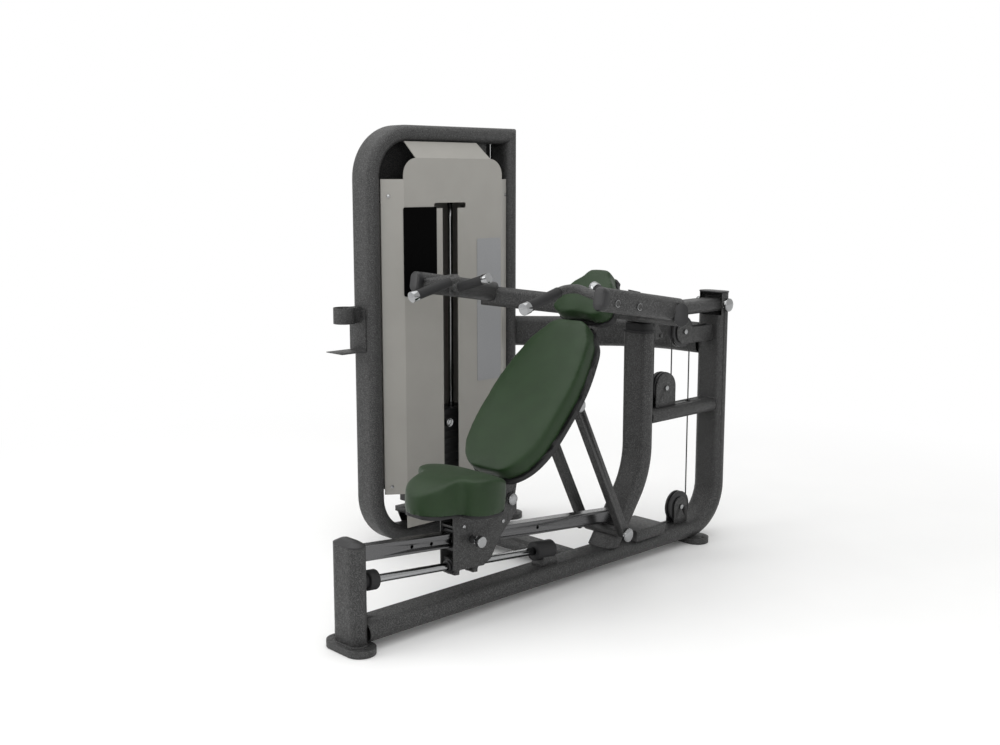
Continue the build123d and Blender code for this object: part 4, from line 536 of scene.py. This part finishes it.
# ---- Weld beads -------------------------------------------------------------------------
# Where one tube butts another the shop runs a fillet round it with a wire welder. It ripples,
# and it is blasted and coated with the rest.
def oval(centre, tube, across, up, count=96):
    """Points round the end of a flat-oval tube of (width, height)."""
    wide, tall = tube
    across, up = Vector(across), Vector(up)
    radius = min(wide, tall) / 2
    reach = abs(wide - tall) / 2
    long_way = across if wide > tall else up
    points = []
    for k in range(count):
        turn = 2 * math.pi * k / count
        offset = across * math.cos(turn) * radius + up * math.sin(turn) * radius
        points.append(Vector(centre) + offset + long_way * math.copysign(reach, offset.dot(long_way)))
    return points


def bead(name, corners, radius):
    """Closed rippled bead through points."""
    curve = bpy.data.curves.new(name, "CURVE")
    curve.dimensions = "3D"
    curve.bevel_depth = radius
    curve.bevel_resolution = 3
    run = curve.splines.new("POLY")
    run.points.add(len(corners) - 1)
    for index, (point, corner) in enumerate(zip(run.points, corners)):
        point.co = (*corner, 1)
        point.radius = 1.0 + 0.16 * math.sin(index * 2.1)    # a ripple every three points
    run.use_cyclic_u = True
    curve.materials.append(powder)
    piece = place_new(name, curve)
    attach(piece, "frame")


MAIN_TUBE = (0.12, 0.06)
LIGHT_TUBE = (0.1, 0.05)
BEAD_RADIUS = {MAIN_TUBE: 0.003, LIGHT_TUBE: 0.0028}
X, Y, Z = (1, 0, 0), (0, 1, 0), (0, 0, 1)
for name, place, tube, across, up in (
    ("post_to_foot", at(0, 0, 22.5), MAIN_TUBE, X, Y),
    ("floor_tube_to_post", at(0, 30.6, 52), MAIN_TUBE, X, Z),
    ("brace_to_upright", at(0, 1715.5, 522), LIGHT_TUBE, X, Z),
    ("brace_to_middle", at(0, 1333.5, 522), LIGHT_TUBE, X, Z),
    ("tower_to_foot", at(-738, 1333, 22.5), MAIN_TUBE, X, Y),
    ("link_to_tower", at(-677.5, 1002, 47), LIGHT_TUBE, Y, Z),
):
    bead(f"bead_{name}", oval(place, tube, across, up), BEAD_RADIUS[tube])

# ---- Floor ------------------------------------------------------------------------------
# Pale seamless studio floor, a hair below the feet. Beyond the machine's shadow it burns out
# to the white of the backdrop.
FLOOR_REACH = 14.0
FADE_START = 1.3
FADE_END = 3.4
MIDDLE = (-200, 850)      # of the machine's plan, tower included
floor_mesh = bpy.data.meshes.new("floor")
floor_mesh.from_pydata(
    [(FLOOR_REACH * x, FLOOR_REACH * y, 0) for x, y in ((-1, -1), (1, -1), (1, 1), (-1, 1))],
    [], [(0, 1, 2, 3)],
)
floor = place_new("floor", floor_mesh)
floor.location.z = -0.0005
floor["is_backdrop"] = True
ground = surface("pale painted floor", 0.55, specular=0.3)
grain(ground, 400, colours=[(0.3, "#F4F4F4"), (0.7, "#F6F6F6")])
tree = ground.node_tree
spot = add_node(tree, "ShaderNodeTexCoord")
away = add_node(
    tree, "ShaderNodeVectorMath", {1: at(*MIDDLE, 0)}, {0: spot.outputs["Object"]},
    operation="DISTANCE",
)
fade = add_node(
    tree, "ShaderNodeMapRange", {"From Min": FADE_START, "From Max": FADE_END},
    {"Value": away.outputs["Value"]}, interpolation_type="SMOOTHSTEP",
)
glow = add_node(tree, "ShaderNodeEmission")
painted = tree.nodes["Principled BSDF"]
faded = add_node(tree, "ShaderNodeMixShader", links={
    "Fac": fade.outputs["Result"], 1: painted.outputs["BSDF"], 2: glow.outputs["Emission"],
})
tree.links.new(faded.outputs["Shader"], tree.nodes["Material Output"].inputs["Surface"])
floor_mesh.materials.append(ground)


# ---- Lamps ------------------------------------------------------------------------------
# A broad soft lamp overhead and a little forward, and two weaker ones at the front corners.
# A pale room fills the shadows, and shows white behind the machine.
def lamp(name, place, size, power):
    """Square soft lamp that looks at the machine."""
    light = bpy.data.lights.new(name, "AREA")
    light.size = size
    light.energy = power
    piece = place_new(name, light)
    piece.location = place
    look = at(*MIDDLE, 600) - place
    piece.rotation_euler = look.to_track_quat("-Z", "Y").to_euler()


lamp("overhead", at(-600, 300, 4200), size=4.6, power=85)
lamp("front_left", at(-2600, -2600, 2600), size=2.4, power=40)
lamp("front_right", at(3200, -1600, 2200), size=2.4, power=26)

room = bpy.data.worlds.new("studio")
bpy.context.scene.world = room
room.use_nodes = True
tree = room.node_tree
tree.nodes.clear()
rays = add_node(tree, "ShaderNodeLightPath")
straight_on = add_node(
    tree, "ShaderNodeMath", operation="MAXIMUM",
    links={0: rays.outputs["Is Camera Ray"], 1: rays.outputs["Is Transmission Ray"]},
)
walls = add_node(tree, "ShaderNodeBackground", {"Color": linear("#F5F5F4"), "Strength": 0.88})
backdrop = add_node(tree, "ShaderNodeBackground", {"Color": (1, 1, 1, 1), "Strength": 1.0})
seen = add_node(tree, "ShaderNodeMixShader", links={
    "Fac": straight_on.outputs["Value"], 1: walls.outputs["Background"],
    2: backdrop.outputs["Background"],
})
add_node(tree, "ShaderNodeOutputWorld", links={"Surface": seen.outputs["Shader"]})
bpy.context.scene.view_settings.view_transform = "Standard"

# ---- Camera -----------------------------------------------------------------------------
# At standing eye height, off the front corner on the rail's side, looking slightly down.
lens = bpy.data.cameras.new("camera")
lens.sensor_width = 36
lens.lens = 43.394
lens.clip_end = 60
camera = place_new("camera", lens)
camera.location = at(2767.6, -2032.0, 1380)
camera.rotation_euler = (math.radians(80.863), 0, math.radians(46.32))
bpy.context.scene.camera = camera

low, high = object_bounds()
